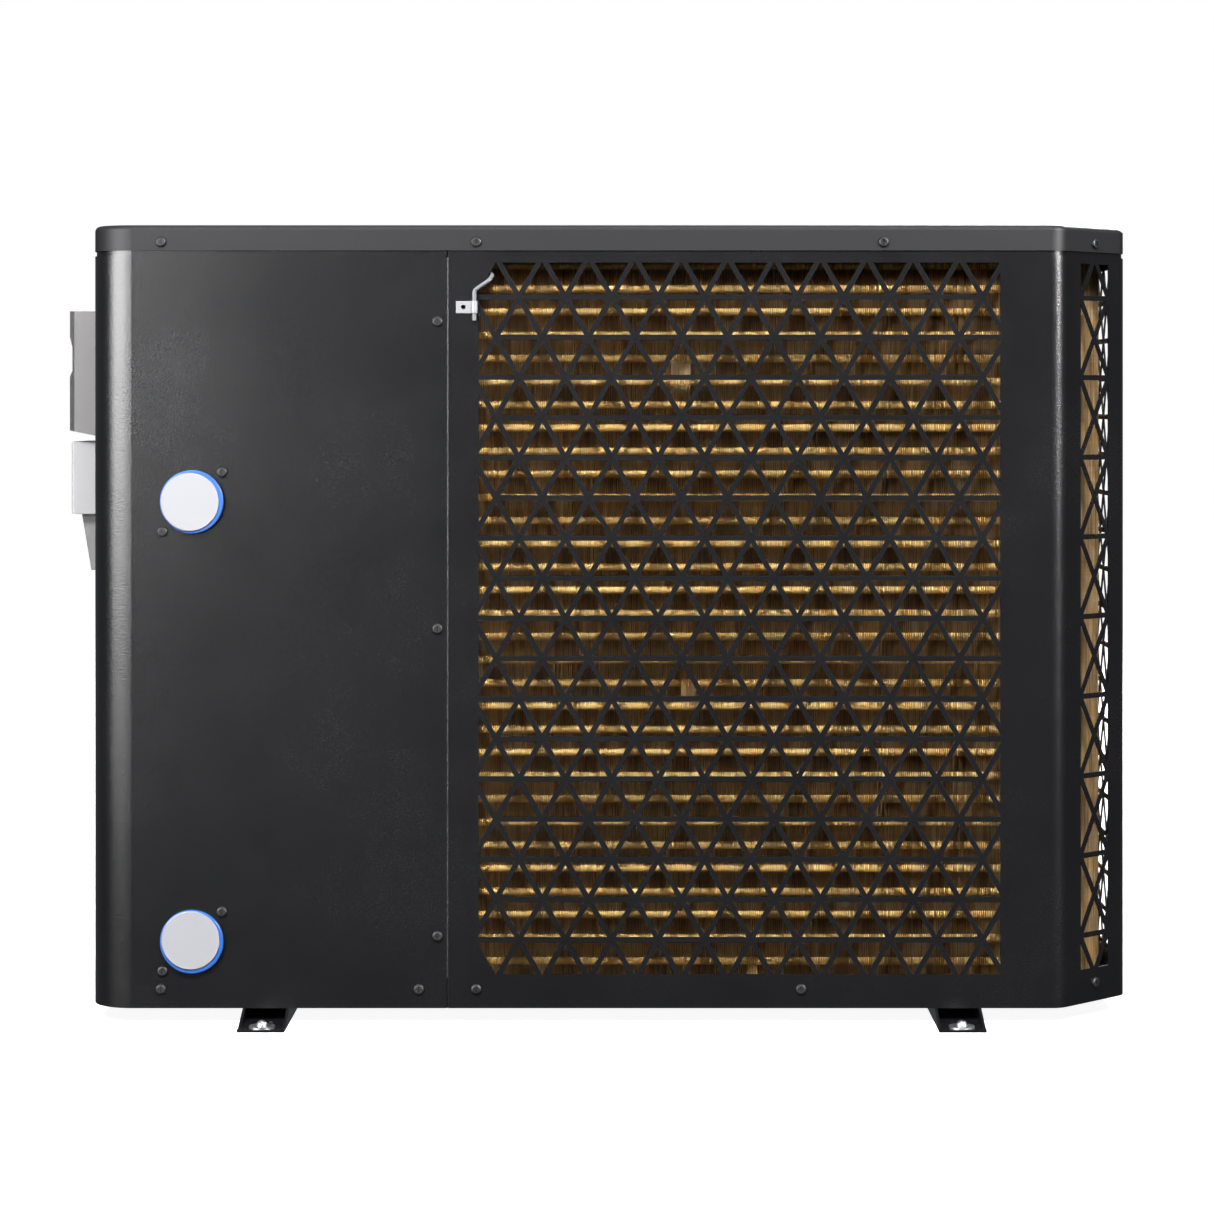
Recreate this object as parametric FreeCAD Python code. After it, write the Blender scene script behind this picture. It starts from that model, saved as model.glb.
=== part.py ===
"""A pool heat pump in a steel case: one STEP file per separate piece, in millimetres.

+X runs along the case, +Y points from the coil side to the fan side and +Z points up.
The origin is on the floor, in the middle of the four anchor slots of the feet.
"""
import FreeCAD, Part
import math
import os

V = FreeCAD.Vector
X, Y, Z = V(1, 0, 0), V(0, 1, 0), V(0, 0, 1)

# ---- the case ----
WIDTH = 986.0               # side to side
DEPTH = 420.0               # coil side to fan side
HEIGHT = 752.0              # floor to the top of the cover
BODY_BOTTOM = 14.0          # height of the feet under the case
SHEET = 1.2                 # steel sheet
CORNER_R = 40.0             # three round upright corners
CHAMFER = 70.0              # the 45 degree corner beside the coil
BEND_R = 20.0               # outside radius of its two bends
LID_SKIRT = 24.0
LID_GAP = 4.5               # dark joint between cover and panels
LID_EDGE_R = 5.0
TONGUE = 20.0               # panel edge hidden behind the cover's skirt
SEAM_X = -156.0             # joint between service panel and coil guard
SEAM_GAP = 1.2
FRONT_SEAM_Y = 150.0        # joints between the side panels and the front panel
PAN_RIM = 28.0
SKIN_GAP = 0.3              # between sheets that lie on each other

# ---- feet ----
RAIL_X = 326.0              # middle of each rail
RAIL_WIDTH = 44.0
RAIL_WALL = 2.5
RAIL_TIP = 47.0             # how far a rail stands out past the case
TIP_BOLT_IN = 13.0          # tip of the rail to its bolt
ANCHOR_IN = 36.0            # tip of the rail to the anchor slot
ANCHOR_R = 4.5
ANCHOR_LENGTH = 18.0
FOOT_BOLT_R = 3.0
FOOT_WASHER_R = 12.0
FOOT_WASHER = 1.6
FOOT_DOME_R = 5.2

# ---- triangular lattice ----
PITCH = 43.7                # side of one triangle
BAR = 5.0                   # metal left between two triangles
ROWS = 16                   # full rows
END_ROW = 32.5              # height of the cut rows at top and bottom
WINDOW_BOTTOM = 46.0
REAR_WINDOW_X = -125.7
REAR_WINDOW_PITCHES = 11.25
REAR_FIRST_NODE = 0.87      # from the window's edge, in pitches
SIDE_WINDOW_Y = -112.0
SIDE_WINDOW_PITCHES = 5.25
CHAMFER_SHIFT = 3.0         # window's middle from the chamfer's middle
LEAST_HOLE = 95.0           # smaller cut triangles stay metal, in square mm

# ---- evaporator ----
COIL_GAP = 13.0             # rear panel to the fins
COIL_SIDE_GAP = 18.0        # side panel to the fins
COIL_THICK = 44.0
COIL_BEND_R = 110.0
COIL_LEFT = -128.0
COIL_SIDE_END = 120.0
TUBE_PITCH = 22.0
TUBE_COUNT = 32
TUBE_R = 4.0
TUBE_STUB = 5.0
COIL_TOP_DOWN = 26.6        # top of the cover to the fins
END_PLATE = 1.5
END_PLATE_LIP = 4.0
HEADER_R = 9.5
HEADER_X = -159.0
HEADER_END = 10.0           # header beyond its first and last feeder
CIRCUIT = 4                 # tubes of the inner row in one circuit
CAPILLARY_R = 1.6

# ---- fan ----
FAN_X = 150.0
FAN_Z = 384.0
FAN_R = 248.0
HUB_R = 72.0
HUB_LENGTH = 62.0
FAN_Y = 122.0               # middle of the blades
BLADES = 3
BLADE_THICK = 3.0
BELL_R = 256.0
BELL_DEPTH = 70.0
BELL_WALL = 2.0
BELL_LIP = 14.0
BELL_FLARE = 8.0
OUTLET_R = 266.0            # hole in the front panel
GUARD_R = 284.0
GUARD_RINGS = 12
GUARD_SPOKES = 12
GUARD_WIRE = 4.0
GUARD_STAND = 14.0
GUARD_HUB_R = 58.0
MOTOR_R = 62.0
MOTOR_LENGTH = 84.0
MOTOR_BACK_Y = -22.0
MOTOR_WALL = 4.0
MOTOR_ROTOR_R = 32.0
MOTOR_BOSS_R = 18.0
MOTOR_BOSS = 8.0
MOTOR_END = 12.0            # closed end of the housing
MOTOR_RIBS = 24
MOTOR_RIB = 5.0             # rib's height
MOTOR_RIB_THICK = 3.0
MOTOR_RIB_IN = 16.0         # end of the housing to the end of a rib
ROTOR_SIDE = 2.0            # rotor to the housing's end
HUB_WALL = 4.0
HUB_FACE = 6.0
HUB_BOSS_WALL = 8.0
HUB_RIBS = 6
HUB_RIB_THICK = 3.0
BLADE_ROOT = (-3.0, 104.0, 34.0)    # from the hub's radius: reach, chord, pitch in degrees
BLADE_MIDDLE = (70.0, 176.0, 27.0)
BLADE_TIP = (-3.72, 206.0, 19.0)    # from the blades' outer radius
NUT_R = 11.0
NUT_HEIGHT = 7.0
SHAFT_TIP = 12.0            # shaft beyond the hub
SHAFT_R = 6.0
SHAFT_FIT = 0.05
BRACKET_SPREAD = 52.0
BRACKET_WIDTH = 26.0
BRACKET_DEPTH = 14.0
BRACKET_WALL = 2.0
BRACKET_TIE = 24.0          # height of each tie between the uprights
BRACKET_TIE_AT = 34.0       # above and below the shaft

# ---- partition between the rooms ----
WALL_X = -178.0
WALL_FLANGE = 34.0

# ---- compressor ----
COMP_X, COMP_Y = -265.0, 60.0
COMP_R = 66.0
COMP_HEIGHT = 240.0
COMP_WALL = 3.5
COMP_DOME_R = 38.0
COMP_FOOT_R = 78.0
GROMMET_R = 14.0
GROMMET_HEIGHT = 22.0
STUD_R = 4.0
STATOR_IN_R = 34.0
FOOT_PLATE = 3.0
PUMP_LOW, PUMP_TOP = 42.0, 84.0     # pump block, above the can's base
BEARING_R = 18.0
BEARING_TOP = 108.0
ROTOR_LOW, ROTOR_TOP = 122.0, 188.0
CRANK_LOW, CRANK_TOP = 38.0, 200.0
STUD_NUT = 7.0
STUD_TOP = 10.0
ROTOR_AIR = 0.6
CRANK_R = 8.0
ACC_X, ACC_Y = -292.0, 166.0
ACC_R = 28.0
ACC_HEIGHT = 170.0
ACC_RAISED = 30.0           # above the compressor's feet
ACC_DOME = 0.6              # of its radius
ACC_ELBOW_DOWN = 18.0
ACC_ELBOW_IN = 40.0         # compressor's middle to the suction port
ACC_ELBOW_UP = 14.0
ACC_BEND = 8.0

# ---- water side ----
WATER_X = -395.5
WATER_LOW_Z = 77.0
WATER_HIGH_Z = 491.0
PIPE_R = 25.0
PIPE_WALL = 3.0
SOCKET_R = 25.1             # bore that takes a 50 mm pipe
SOCKET_DEPTH = 38.0
PLUG_SEAT_R = 26.8          # wider mouth of the socket, where the plug's cup sits
PLUG_SEAT = 8.0
SOCKET_RIM_R = 29.6
SOCKET_FRONT = 1.0          # socket rim in front of the panel
SOCKET_HOLE_GAP = 0.4
FLANGE_R = 45.0
FLANGE_THICK = 5.0
FLANGE_SCREW_AT = 28.0      # sideways and up from the middle
ELBOW_R = 36.0
PIPE_STUB = 5.0             # straight end of a water pipe at the exchanger
PLUG_RIM_R = 29.9
PLUG_RIM = 4.0
PLUG_FIT = 0.3
PLUG_DEPTH = 7.0
PLUG_WALL = 2.0
DISC_R = 27.3
DISC_THICK = 1.2
DISC_SHIFT = 1.6
EXCHANGER_Y = -60.0
EXCHANGER_R = 68.0
EXCHANGER_WALL = 5.0
EXCHANGER_CAP = 26.0
EXCHANGER_CAP_R = 74.0
COIL_TURNS = 11
COIL_TURN_R = 46.0
COIL_TUBE_R = 7.0

# ---- flow switch on the lower water pipe ----
SWITCH_Y = -150.0
SWITCH_STEM_R = 9.0
PADDLE_LENGTH = 22.0
PADDLE_WIDTH = 12.0
PADDLE_PIN_R = 1.5
PADDLE_EYE = 1.2
PADDLE_THICK = 1.2
PADDLE_DROP = 5.0           # pin to the blade's top
SWITCH_WIDTH = 44.0
SWITCH_DEPTH = 32.0
SWITCH_HEIGHT = 32.0
SWITCH_STEM_UP = 4.0
EAR_OUT = 6.0
EAR_THICK = 1.5

# ---- valves ----
VALVE_Z = 400.0
VALVE_R = 13.0
VALVE_LENGTH = 96.0
VALVE_WALL = 2.0
VALVE_FIT = 0.08
VALVE_STROKE = 16.0
SLIDE_LENGTH = 42.0
SLIDE_HALF = (6.0, 5.0)     # half depth and half height of the slide
PISTON = 6.0
VALVE_END = 3.0             # cap of the valve's tube
PILOT_R = 5.0
PILOT_AWAY = 8.0
PILOT_SPAN = (-20.0, 30.0)  # along the valve, from its middle
PILOT_COIL = (-4.0, 26.0)
PILOT_COIL_DEPTH = 24.0
PILOT_COIL_HALF = 12.0
BRIDGE = 10.0
REFRIGERANT_R = 6.35
REFRIGERANT_WALL = 1.0
EXPANSION_X, EXPANSION_Y, EXPANSION_Z = -215.0, -100.0, 190.0
VALVE_BODY_R = 11.0
EXPANSION_BODY = 44.0       # heights of its body, coil and top, from its foot
EXPANSION_COIL_TOP = 72.0
EXPANSION_TOP = 80.0
EXPANSION_COIL_R = 20.0
EXPANSION_TOP_R = 8.0
LIQUID_R = 4.0
LIQUID_BEND = 8.0

# ---- electrical box ----
EBOX_X0, EBOX_X1 = -440.0, -186.0
EBOX_Y0, EBOX_Y1 = -60.0, 190.0
EBOX_Z0, EBOX_Z1 = 560.0, 712.0
EBOX_WALL = 1.5
BOARD_THICK = 1.6
PILLAR_R = 4.0
PILLAR_IN = 8.0
CAPACITORS = 3
CAPACITOR_R = 15.0
CAPACITOR_HEIGHT = 46.0
CAPACITOR_STEP = 36.0
CAPACITOR_AT = (40.0, 30.0)         # from the board's right end and its rear edge
RELAYS = 5
RELAY = (20.0, 28.0, 20.0)          # width, depth and height
RELAY_STEP = 28.0
RELAY_IN = 12.0
FILTER_COIL = (60.0, 60.0, 30.0)
FILTER_IN = 16.0
TERMINALS = (12.0, 80.0, 12.0)
TERMINALS_AT = (10.0, 100.0)
COVER_LIP_LEFT, COVER_LIP_RIGHT = 10.0, 8.0

# ---- things on the left side ----
SIDE_Y = 0.0                # middle of the side boxes
CONTROL_Z0, CONTROL_Z1 = 549.0, 675.0
CONTROL_OUT = 44.5
CONTROL_WIDTH = 112.0
COVER_THICK = 3.0
COVER_FIT = 0.5
GRIP_DEPTH = 2.4            # hollow in the cover's face for the fingers
GRIP_TOP = 25.0             # cover's top edge to the hollow
GRIP_HEIGHT = 40.0
GRIP_SLOPE_TOP, GRIP_SLOPE_LOW = 10.0, 6.0
COVER_LOW_SLOPE = 8.0
COVER_LOW_GAP = 5.0         # lower lip to the side panel
HINGE_IN = 7.0              # hinge pin from the side panel
HINGE_DOWN = 4.0
HINGE_PIN_R = 1.5
KNUCKLE_R = 3.4
KNUCKLE_LENGTH = 24.0
FASCIA_THICK = 2.0
BUTTON_R = 5.0
BUTTON_TRAVEL = 1.0
BUTTON_PROUD = 1.2
BUTTON_WELL = 5.0           # well behind the display plate
BUTTON_FIT = 0.15
BUTTON_SPACING = 22.0
TERMINAL_Z0 = 474.0
TERMINAL_WIDTH = 92.0
TERMINAL_WALL = 2.5
TERMINAL_LID = 5.0
HOOD_OUT = 36.0
HOOD_HEIGHT = 56.0
HOOD_WALL = 2.0
GLAND_OUT = 17.0
GLAND_R = 11.0
GLAND_BORE_R = 7.5
GLAND_LENGTH = 30.0
WIRE_HOLE_R = 9.0

# ---- ambient sensor ----
CLIP_X = -140.0
CLIP_Z = 674.5
CLIP_HEIGHT = 11.5
CLIP_THICK = 1.2
LEAD_X = -129.5
LEAD_R = 2.15
LEAD_FIT = 0.05
LEAD_BEND = 5.0
PROBE_LENGTH = 21.0

# ---- screws and drain ----
SCREW_R = 2.0
SCREW_HOLE_R = 2.2
SCREW_LENGTH = 9.0
SCREW_HEAD_R = 5.0
SCREW_HEAD = 2.6
RECESS = 1.1
LID_SCREW_DOWN = 16.0       # top of the cover to its screws
BASE_SCREW_UP = 18.0        # bottom of the case to the lower screws
END_SCREW_IN = 68.0         # side of the case to the end screws of the coil side
SEAM_SCREW_IN = 8.5         # seam to the screws down its edge
SEAM_SCREW_ENDS = (68.0, 62.5)      # from the panel's bottom and top
SEAM_SIDE = (26.0, 28.0)    # seam to the lower screws on its left and right
GUARD_SCREWS = (256.0, 178.0)       # along the coil guard, above and below
FRONT_SCREW_IN = 93.0
SIDE_SCREWS = (-110.0, 60.0, 168.0)
DRAIN_R = 8.0
DRAIN_WALL = 2.5
DRAIN_X, DRAIN_Y = 60.0, -60.0
DRAIN_HEIGHT = 11.0
DRAIN_FIT = 0.1
DRAIN_FLANGE = 2.0
DRAIN_FLANGE_OUT = 5.0

HALF_W, HALF_D = WIDTH / 2, DEPTH / 2
PAN_FLOOR = BODY_BOTTOM + SHEET
PANEL_TOP = HEIGHT - LID_SKIRT - LID_GAP
LID_SCREW_Z = HEIGHT - LID_SCREW_DOWN
BASE_SCREW_Z = BODY_BOTTOM + BASE_SCREW_UP
COIL_TOP = HEIGHT - COIL_TOP_DOWN
ROW = PITCH * math.sin(math.radians(60))
WINDOW_HEIGHT = ROWS * ROW + 2 * END_ROW
COIL_Y0 = -HALF_D + COIL_GAP
COIL_Y1 = COIL_Y0 + COIL_THICK
COIL_X1 = HALF_W - COIL_SIDE_GAP
COIL_BOTTOM = COIL_TOP - TUBE_COUNT * TUBE_PITCH
TUBE_ROW_Y = (COIL_Y0 + COIL_THICK / 4, COIL_Y1 - COIL_THICK / 4)
TUBE_ROW_X = (COIL_X1 - COIL_THICK / 4, COIL_X1 - COIL_THICK * 3 / 4)
HEADER_Y = TUBE_ROW_Y[1]
COMP_FLOOR = PAN_FLOOR + GROMMET_HEIGHT
CAN_BASE = COMP_FLOOR + FOOT_PLATE
ACC_TOP = COMP_FLOOR + ACC_RAISED + ACC_HEIGHT
SIDE_FACE = -HALF_W


# ---- small tools ----
def box(low, high):
    size = V(*high) - V(*low)
    return Part.makeBox(size.x, size.y, size.z, V(*low))


def rod(radius, start, end):
    path = V(*end) - V(*start)
    return Part.makeCylinder(radius, path.Length, V(*start), path)


def pipe(outer, inner, start, end):
    return rod(outer, start, end).cut(rod(inner, start, end))


def prism(points, run):
    """A closed outline of straight edges, carried along run."""
    corners = [V(*p) for p in points]
    return Part.Face(Part.makePolygon(corners + corners[:1])).extrude(run)


def join(shapes):
    """One solid from touching or crossing solids."""
    return shapes[0].multiFuse(shapes[1:]).removeSplitter()


def group(shapes):
    """Separate solids that share one file."""
    return Part.makeCompound(shapes)


def rounded_outline(corners, radii, z):
    """Closed outline with an arc of its own radius at each corner."""
    count = len(corners)
    edges, starts, ends = [], [], []
    for i, radius in enumerate(radii):
        here = V(*corners[i], z)
        back = (V(*corners[i - 1], z) - here).normalize()
        ahead = (V(*corners[(i + 1) % count], z) - here).normalize()
        half = back.getAngle(ahead) / 2
        reach = radius / math.tan(half)
        middle = (back + ahead).normalize() * (radius / math.sin(half))
        towards = (back + ahead).normalize() * radius
        starts.append(here + back * reach)
        ends.append(here + ahead * reach)
        edges.append(Part.Arc(starts[i], here + middle - towards, ends[i]).toShape())
    for i in range(count):
        edges.append(Part.makeLine(ends[i], starts[(i + 1) % count]))
    return Part.Wire(Part.__sortEdges__(edges))


def case_solid(inset, z0, z1):
    """The case's plan, moved in by inset, between two heights."""
    w, d = HALF_W - inset, HALF_D - inset
    cut = CHAMFER - inset * (2 - math.sqrt(2))
    corners = [(-w, -d), (w - cut, -d), (w, -d + cut), (w, d), (-w, d)]
    radii = [CORNER_R, BEND_R, BEND_R, CORNER_R, CORNER_R]
    outline = rounded_outline(corners, [r - inset for r in radii], z0)
    return Part.Face(outline).extrude(Z * (z1 - z0))


def case_wall(inset, thick, z0, z1):
    return case_solid(inset, z0, z1).cut(case_solid(inset + thick, z0, z1))


def bent_rod(points, bend, radius):
    """Round rod along straight runs with an arc of radius bend at each inner point."""
    places = [V(*p) for p in points]
    edges = []
    start = places[0]
    for i in range(1, len(places) - 1):
        here = places[i]
        back = (places[i - 1] - here).normalize()
        ahead = (places[i + 1] - here).normalize()
        half = back.getAngle(ahead) / 2
        reach = bend / math.tan(half)
        middle = (back + ahead).normalize() * (bend / math.sin(half) - bend)
        edges.append(Part.makeLine(start, here + back * reach))
        edges.append(Part.Arc(here + back * reach, here + middle, here + ahead * reach).toShape())
        start = here + ahead * reach
    edges.append(Part.makeLine(start, places[-1]))
    section = Part.Wire(Part.makeCircle(radius, places[0], places[1] - places[0]))
    return Part.Wire(edges).makePipeShell([section], True, False)


def bent_pipe(points, bend, outer, inner):
    return bent_rod(points, bend, outer).cut(bent_rod(points, bend, inner))


def turned(shape, angle, middle, axis):
    copy = shape.copy()
    copy.rotate(V(*middle), axis, angle)
    return copy


def save(name, shape):
    shape.exportStep("parts/" + name + ".step")
    kind = "ok" if shape.isValid() else "NOT VALID"
    print(f"{name:24s} {len(shape.Solids):3d} solids {shape.Volume / 1000:10.2f} cm3 {kind}")


# ---- screws of the case ----
CHAMFER_OUT = V(1, -1, 0).normalize()
CHAMFER_MID = V(HALF_W - CHAMFER / 2, -HALF_D + CHAMFER / 2, 0)


def case_screws():
    """Place and outward direction of every screw head that lies on a panel."""
    rear, front = -HALF_D, HALF_D
    end_x = -HALF_W + END_SCREW_IN
    left, right = SEAM_X - SEAM_SIDE[0], SEAM_X + SEAM_SIDE[1]
    screws = []
    for x in (end_x, right, GUARD_SCREWS[0]):
        screws.append((V(x, rear, LID_SCREW_Z), -Y))
    for x in (end_x, left, right, GUARD_SCREWS[1]):
        screws.append((V(x, rear, BASE_SCREW_Z), -Y))
    low, high = BODY_BOTTOM + SEAM_SCREW_ENDS[0], PANEL_TOP - SEAM_SCREW_ENDS[1]
    for z in (low, (low + high) / 2, high):
        screws.append((V(SEAM_X - SEAM_SCREW_IN, rear, z), -Y))
    for z in (LID_SCREW_Z, BASE_SCREW_Z):
        screws.append((CHAMFER_MID + CHAMFER_OUT.cross(Z) * -CHAMFER_SHIFT + Z * z, CHAMFER_OUT))
        for x in (-HALF_W + FRONT_SCREW_IN, 0.0, HALF_W - FRONT_SCREW_IN):
            screws.append((V(x, front, z), Y))
        for y in SIDE_SCREWS:
            screws.append((V(-HALF_W, y, z), -X))
            screws.append((V(HALF_W, y, z), X))
    return screws


def flange_screws():
    """The two screws that hold each water socket's flange to the panel."""
    places = []
    for z in (WATER_LOW_Z, WATER_HIGH_Z):
        for side in (-1, 1):
            at = V(WATER_X + side * FLANGE_SCREW_AT, -HALF_D, z + side * FLANGE_SCREW_AT)
            places.append((at, -Y))
    return places


def screw(at, out):
    """Pan-head screw with a cross recess; its head's seat is at the given place."""
    head = rod(SCREW_HEAD_R, (0, 0, 0), (0, 0, SCREW_HEAD))
    head = head.makeFillet(SCREW_HEAD * 0.75, [head.Edges[0]])
    arm = SCREW_HEAD_R * 0.55
    floor = SCREW_HEAD - RECESS
    for size in ((arm, RECESS / 2), (RECESS / 2, arm)):
        head = head.cut(box((-size[0], -size[1], floor), (size[0], size[1], SCREW_HEAD)))
    whole = head.fuse(rod(SCREW_R, (0, 0, -SCREW_LENGTH), (0, 0, 0))).removeSplitter()
    whole.Placement = FreeCAD.Placement(at, FreeCAD.Rotation(Z, out))
    return whole


def screw_holes(screws):
    holes = [Part.makeCylinder(SCREW_HOLE_R, 2 * SCREW_LENGTH, at + out * 4, -out)
             for at, out in screws]
    return Part.makeCompound(holes)


CASE_HOLES = screw_holes(case_screws())
FLANGE_HOLES = screw_holes(flange_screws())


# ---- sheet-metal case ----
def base_pan():
    inset = SHEET + SKIN_GAP
    floor = case_solid(inset, BODY_BOTTOM, PAN_FLOOR)
    rim = case_wall(inset, SHEET, BODY_BOTTOM, BODY_BOTTOM + PAN_RIM)
    pan = floor.fuse(rim).removeSplitter()
    drain = rod(DRAIN_R + DRAIN_WALL, (DRAIN_X, DRAIN_Y, 0), (DRAIN_X, DRAIN_Y, PAN_FLOOR))
    studs = [rod(STUD_R, (x, y, 0), (x, y, PAN_FLOOR)) for x, y in compressor_feet()]
    return pan.cut(group([drain] + studs)).cut(CASE_HOLES)


def rail_slot(y):
    """Upright prism of an anchor slot, long side across the rail."""
    half = ANCHOR_LENGTH / 2 - ANCHOR_R
    ends = [rod(ANCHOR_R, (s * half, y, 0), (s * half, y, RAIL_WALL)) for s in (-1, 1)]
    return join(ends + [box((-half, y - ANCHOR_R, 0), (half, y + ANCHOR_R, RAIL_WALL))])


def foot_rail(x):
    """Channel, open upward, whose walls slope down to each tip."""
    half = RAIL_WIDTH / 2
    tip = HALF_D + RAIL_TIP
    rail = box((-half, -tip, 0), (half, tip, RAIL_WALL))
    for side in (-1, 1):
        outer = side * half
        outline = [(outer, -tip, 0), (outer, -HALF_D, BODY_BOTTOM),
                   (outer, HALF_D, BODY_BOTTOM), (outer, tip, 0)]
        rail = rail.fuse(prism(outline, X * (-side * RAIL_WALL)))
    for end in (-1, 1):
        bolt_y = end * (tip - TIP_BOLT_IN)
        rail = rail.cut(rod(FOOT_BOLT_R, (0, bolt_y, 0), (0, bolt_y, RAIL_WALL)))
        rail = rail.cut(rail_slot(end * (tip - ANCHOR_IN)))
    rail.translate(X * x)
    return rail


def foot_bolts():
    """Domed bolt and flat washer at each of the four rail tips."""
    bolts = []
    for x in (-RAIL_X, RAIL_X):
        for end in (-1, 1):
            y = end * (HALF_D + RAIL_TIP - TIP_BOLT_IN)
            seat = RAIL_WALL + FOOT_WASHER
            washer = pipe(FOOT_WASHER_R, FOOT_BOLT_R, (x, y, RAIL_WALL), (x, y, seat))
            dome = Part.makeSphere(FOOT_DOME_R, V(x, y, seat), Z, 0, 90)
            shank = rod(FOOT_BOLT_R, (x, y, RAIL_WALL - 2), (x, y, seat))
            bolts += [washer, dome.fuse(shank).removeSplitter()]
    return group(bolts)


def top_cover():
    bottom = HEIGHT - LID_SKIRT
    outside = case_solid(0, bottom, HEIGHT)
    edges = [e for e in outside.Edges if e.BoundBox.ZMin > HEIGHT - 0.01]
    outside = outside.makeFillet(LID_EDGE_R, edges)
    inside = case_solid(SHEET, bottom, HEIGHT - SHEET)
    edges = [e for e in inside.Edges if e.BoundBox.ZMin > HEIGHT - SHEET - 0.01]
    inside = inside.makeFillet(LID_EDGE_R - SHEET, edges)
    return outside.cut(inside).cut(CASE_HOLES)


def panel_skin(region):
    """The part of the case's wall inside a region, with a tongue behind the cover's skirt."""
    inner = SHEET + SKIN_GAP
    wall = case_wall(0, SHEET, BODY_BOTTOM, PANEL_TOP)
    step = case_wall(0, inner + SHEET, PANEL_TOP - SHEET, PANEL_TOP)
    tongue = case_wall(inner, SHEET, PANEL_TOP - SHEET, PANEL_TOP + TONGUE)
    return join([wall, step, tongue]).common(region)


def service_panel():
    """Coil side, round corner and left side, with the two water openings."""
    reach = HALF_W + 1
    panel = panel_skin(box((-reach, -reach, 0), (SEAM_X, FRONT_SEAM_Y - SEAM_GAP, HEIGHT)))
    for z in (WATER_LOW_Z, WATER_HIGH_Z):
        hole = rod(SOCKET_RIM_R + SOCKET_HOLE_GAP, (WATER_X, -HALF_D - 1, z),
                   (WATER_X, -HALF_D + SHEET + 1, z))
        panel = panel.cut(hole)
    wires = rod(WIRE_HOLE_R, (SIDE_FACE - 1, SIDE_Y, TERMINAL_Z0 + WIRE_HOLE_R * 3),
                (SIDE_FACE + 2 * SHEET, SIDE_Y, TERMINAL_Z0 + WIRE_HOLE_R * 3))
    return panel.cut(group([CASE_HOLES, FLANGE_HOLES, wires]))


def keep_below(points, normal, limit):
    """Cuts a convex outline back to where point . normal is at most limit."""
    kept = []
    for i, here in enumerate(points):
        after = points[(i + 1) % len(points)]
        a = here[0] * normal[0] + here[1] * normal[1] - limit
        b = after[0] * normal[0] + after[1] * normal[1] - limit
        if a <= 0:
            kept.append(here)
        if a * b < 0:
            t = a / (a - b)
            kept.append((here[0] + t * (after[0] - here[0]), here[1] + t * (after[1] - here[1])))
    return kept


def area(points):
    pairs = zip(points, points[1:] + points[:1])
    return abs(sum(p[0] * q[1] - q[0] * p[1] for p, q in pairs)) / 2


def lattice(width, first_node):
    """Outlines of the holes in a window of that width, with (0, 0) at its lower left corner."""
    window = [(0, 0), (width, 0), (width, WINDOW_HEIGHT), (0, WINDOW_HEIGHT)]
    slope = (math.sin(math.radians(60)), math.cos(math.radians(60)))
    holes = []
    for row in range(-1, ROWS + 2):
        z = END_ROW + row * ROW
        shift = first_node + (PITCH / 2 if row % 2 else 0)
        for k in range(-2, int(width / PITCH) + 2):
            left = shift + k * PITCH
            barred = 0 < left + PITCH / 2 < width
            sides = {}
            for up in (1, -1):
                cell = window
                for side, at in ((-1, left), (1, left + PITCH)):
                    normal = (side * slope[0], up * slope[1])
                    cell = keep_below(cell, normal, at * normal[0] + z * normal[1] - BAR / 2)
                sides[up] = cell
            if barred:
                holes += [keep_below(sides[up], (0, -up), -up * z - BAR / 2) for up in sides]
            else:
                whole = sides[1]
                for side, at in ((-1, left), (1, left + PITCH)):
                    normal = (side * slope[0], -slope[1])
                    whole = keep_below(whole, normal, at * normal[0] + z * normal[1] - BAR / 2)
                holes.append(whole)
    return [hole for hole in holes if len(hole) > 2 and area(hole) > LEAST_HOLE]


def lattice_cutters(corner, along, inward, width, first_node):
    """Prisms that cut a lattice window; corner is the window's lower left corner."""
    start = corner - inward * 2
    run = inward * (SHEET + 4)
    return [prism([start + along * u + Z * v for u, v in hole], run)
            for hole in lattice(width, first_node)]


def grille_panel():
    """Coil guard: coil side, 45 degree corner and right side, cut with the lattice."""
    reach = HALF_W + 1
    panel = panel_skin(box((SEAM_X + SEAM_GAP, -reach, 0), (reach, FRONT_SEAM_Y - SEAM_GAP, HEIGHT)))
    across = V(1, 1, 0).normalize()
    mid = CHAMFER_MID + across * (CHAMFER_SHIFT - PITCH / 2)
    windows = [
        (V(REAR_WINDOW_X, -HALF_D, WINDOW_BOTTOM), X, Y,
         REAR_WINDOW_PITCHES * PITCH, REAR_FIRST_NODE * PITCH),
        (mid + Z * WINDOW_BOTTOM, across, -CHAMFER_OUT, PITCH, 0),
        (V(HALF_W, SIDE_WINDOW_Y, WINDOW_BOTTOM), Y, -X,
         SIDE_WINDOW_PITCHES * PITCH, REAR_FIRST_NODE * PITCH)]
    for window in windows:
        panel = panel.cut(group(lattice_cutters(*window)))
    clip_hole = rod(SCREW_HOLE_R, (CLIP_X, -HALF_D - 1, CLIP_Z), (CLIP_X, -HALF_D + SHEET + 1, CLIP_Z))
    return panel.cut(group([CASE_HOLES, clip_hole]))


def front_panel():
    """Fan side with both round corners and the round air outlet."""
    reach = HALF_W + 1
    panel = panel_skin(box((-reach, FRONT_SEAM_Y, 0), (reach, reach, HEIGHT)))
    outlet = rod(OUTLET_R, (FAN_X, HALF_D - 2 * SHEET, FAN_Z), (FAN_X, HALF_D + 1, FAN_Z))
    return panel.cut(group([CASE_HOLES, outlet]))


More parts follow.
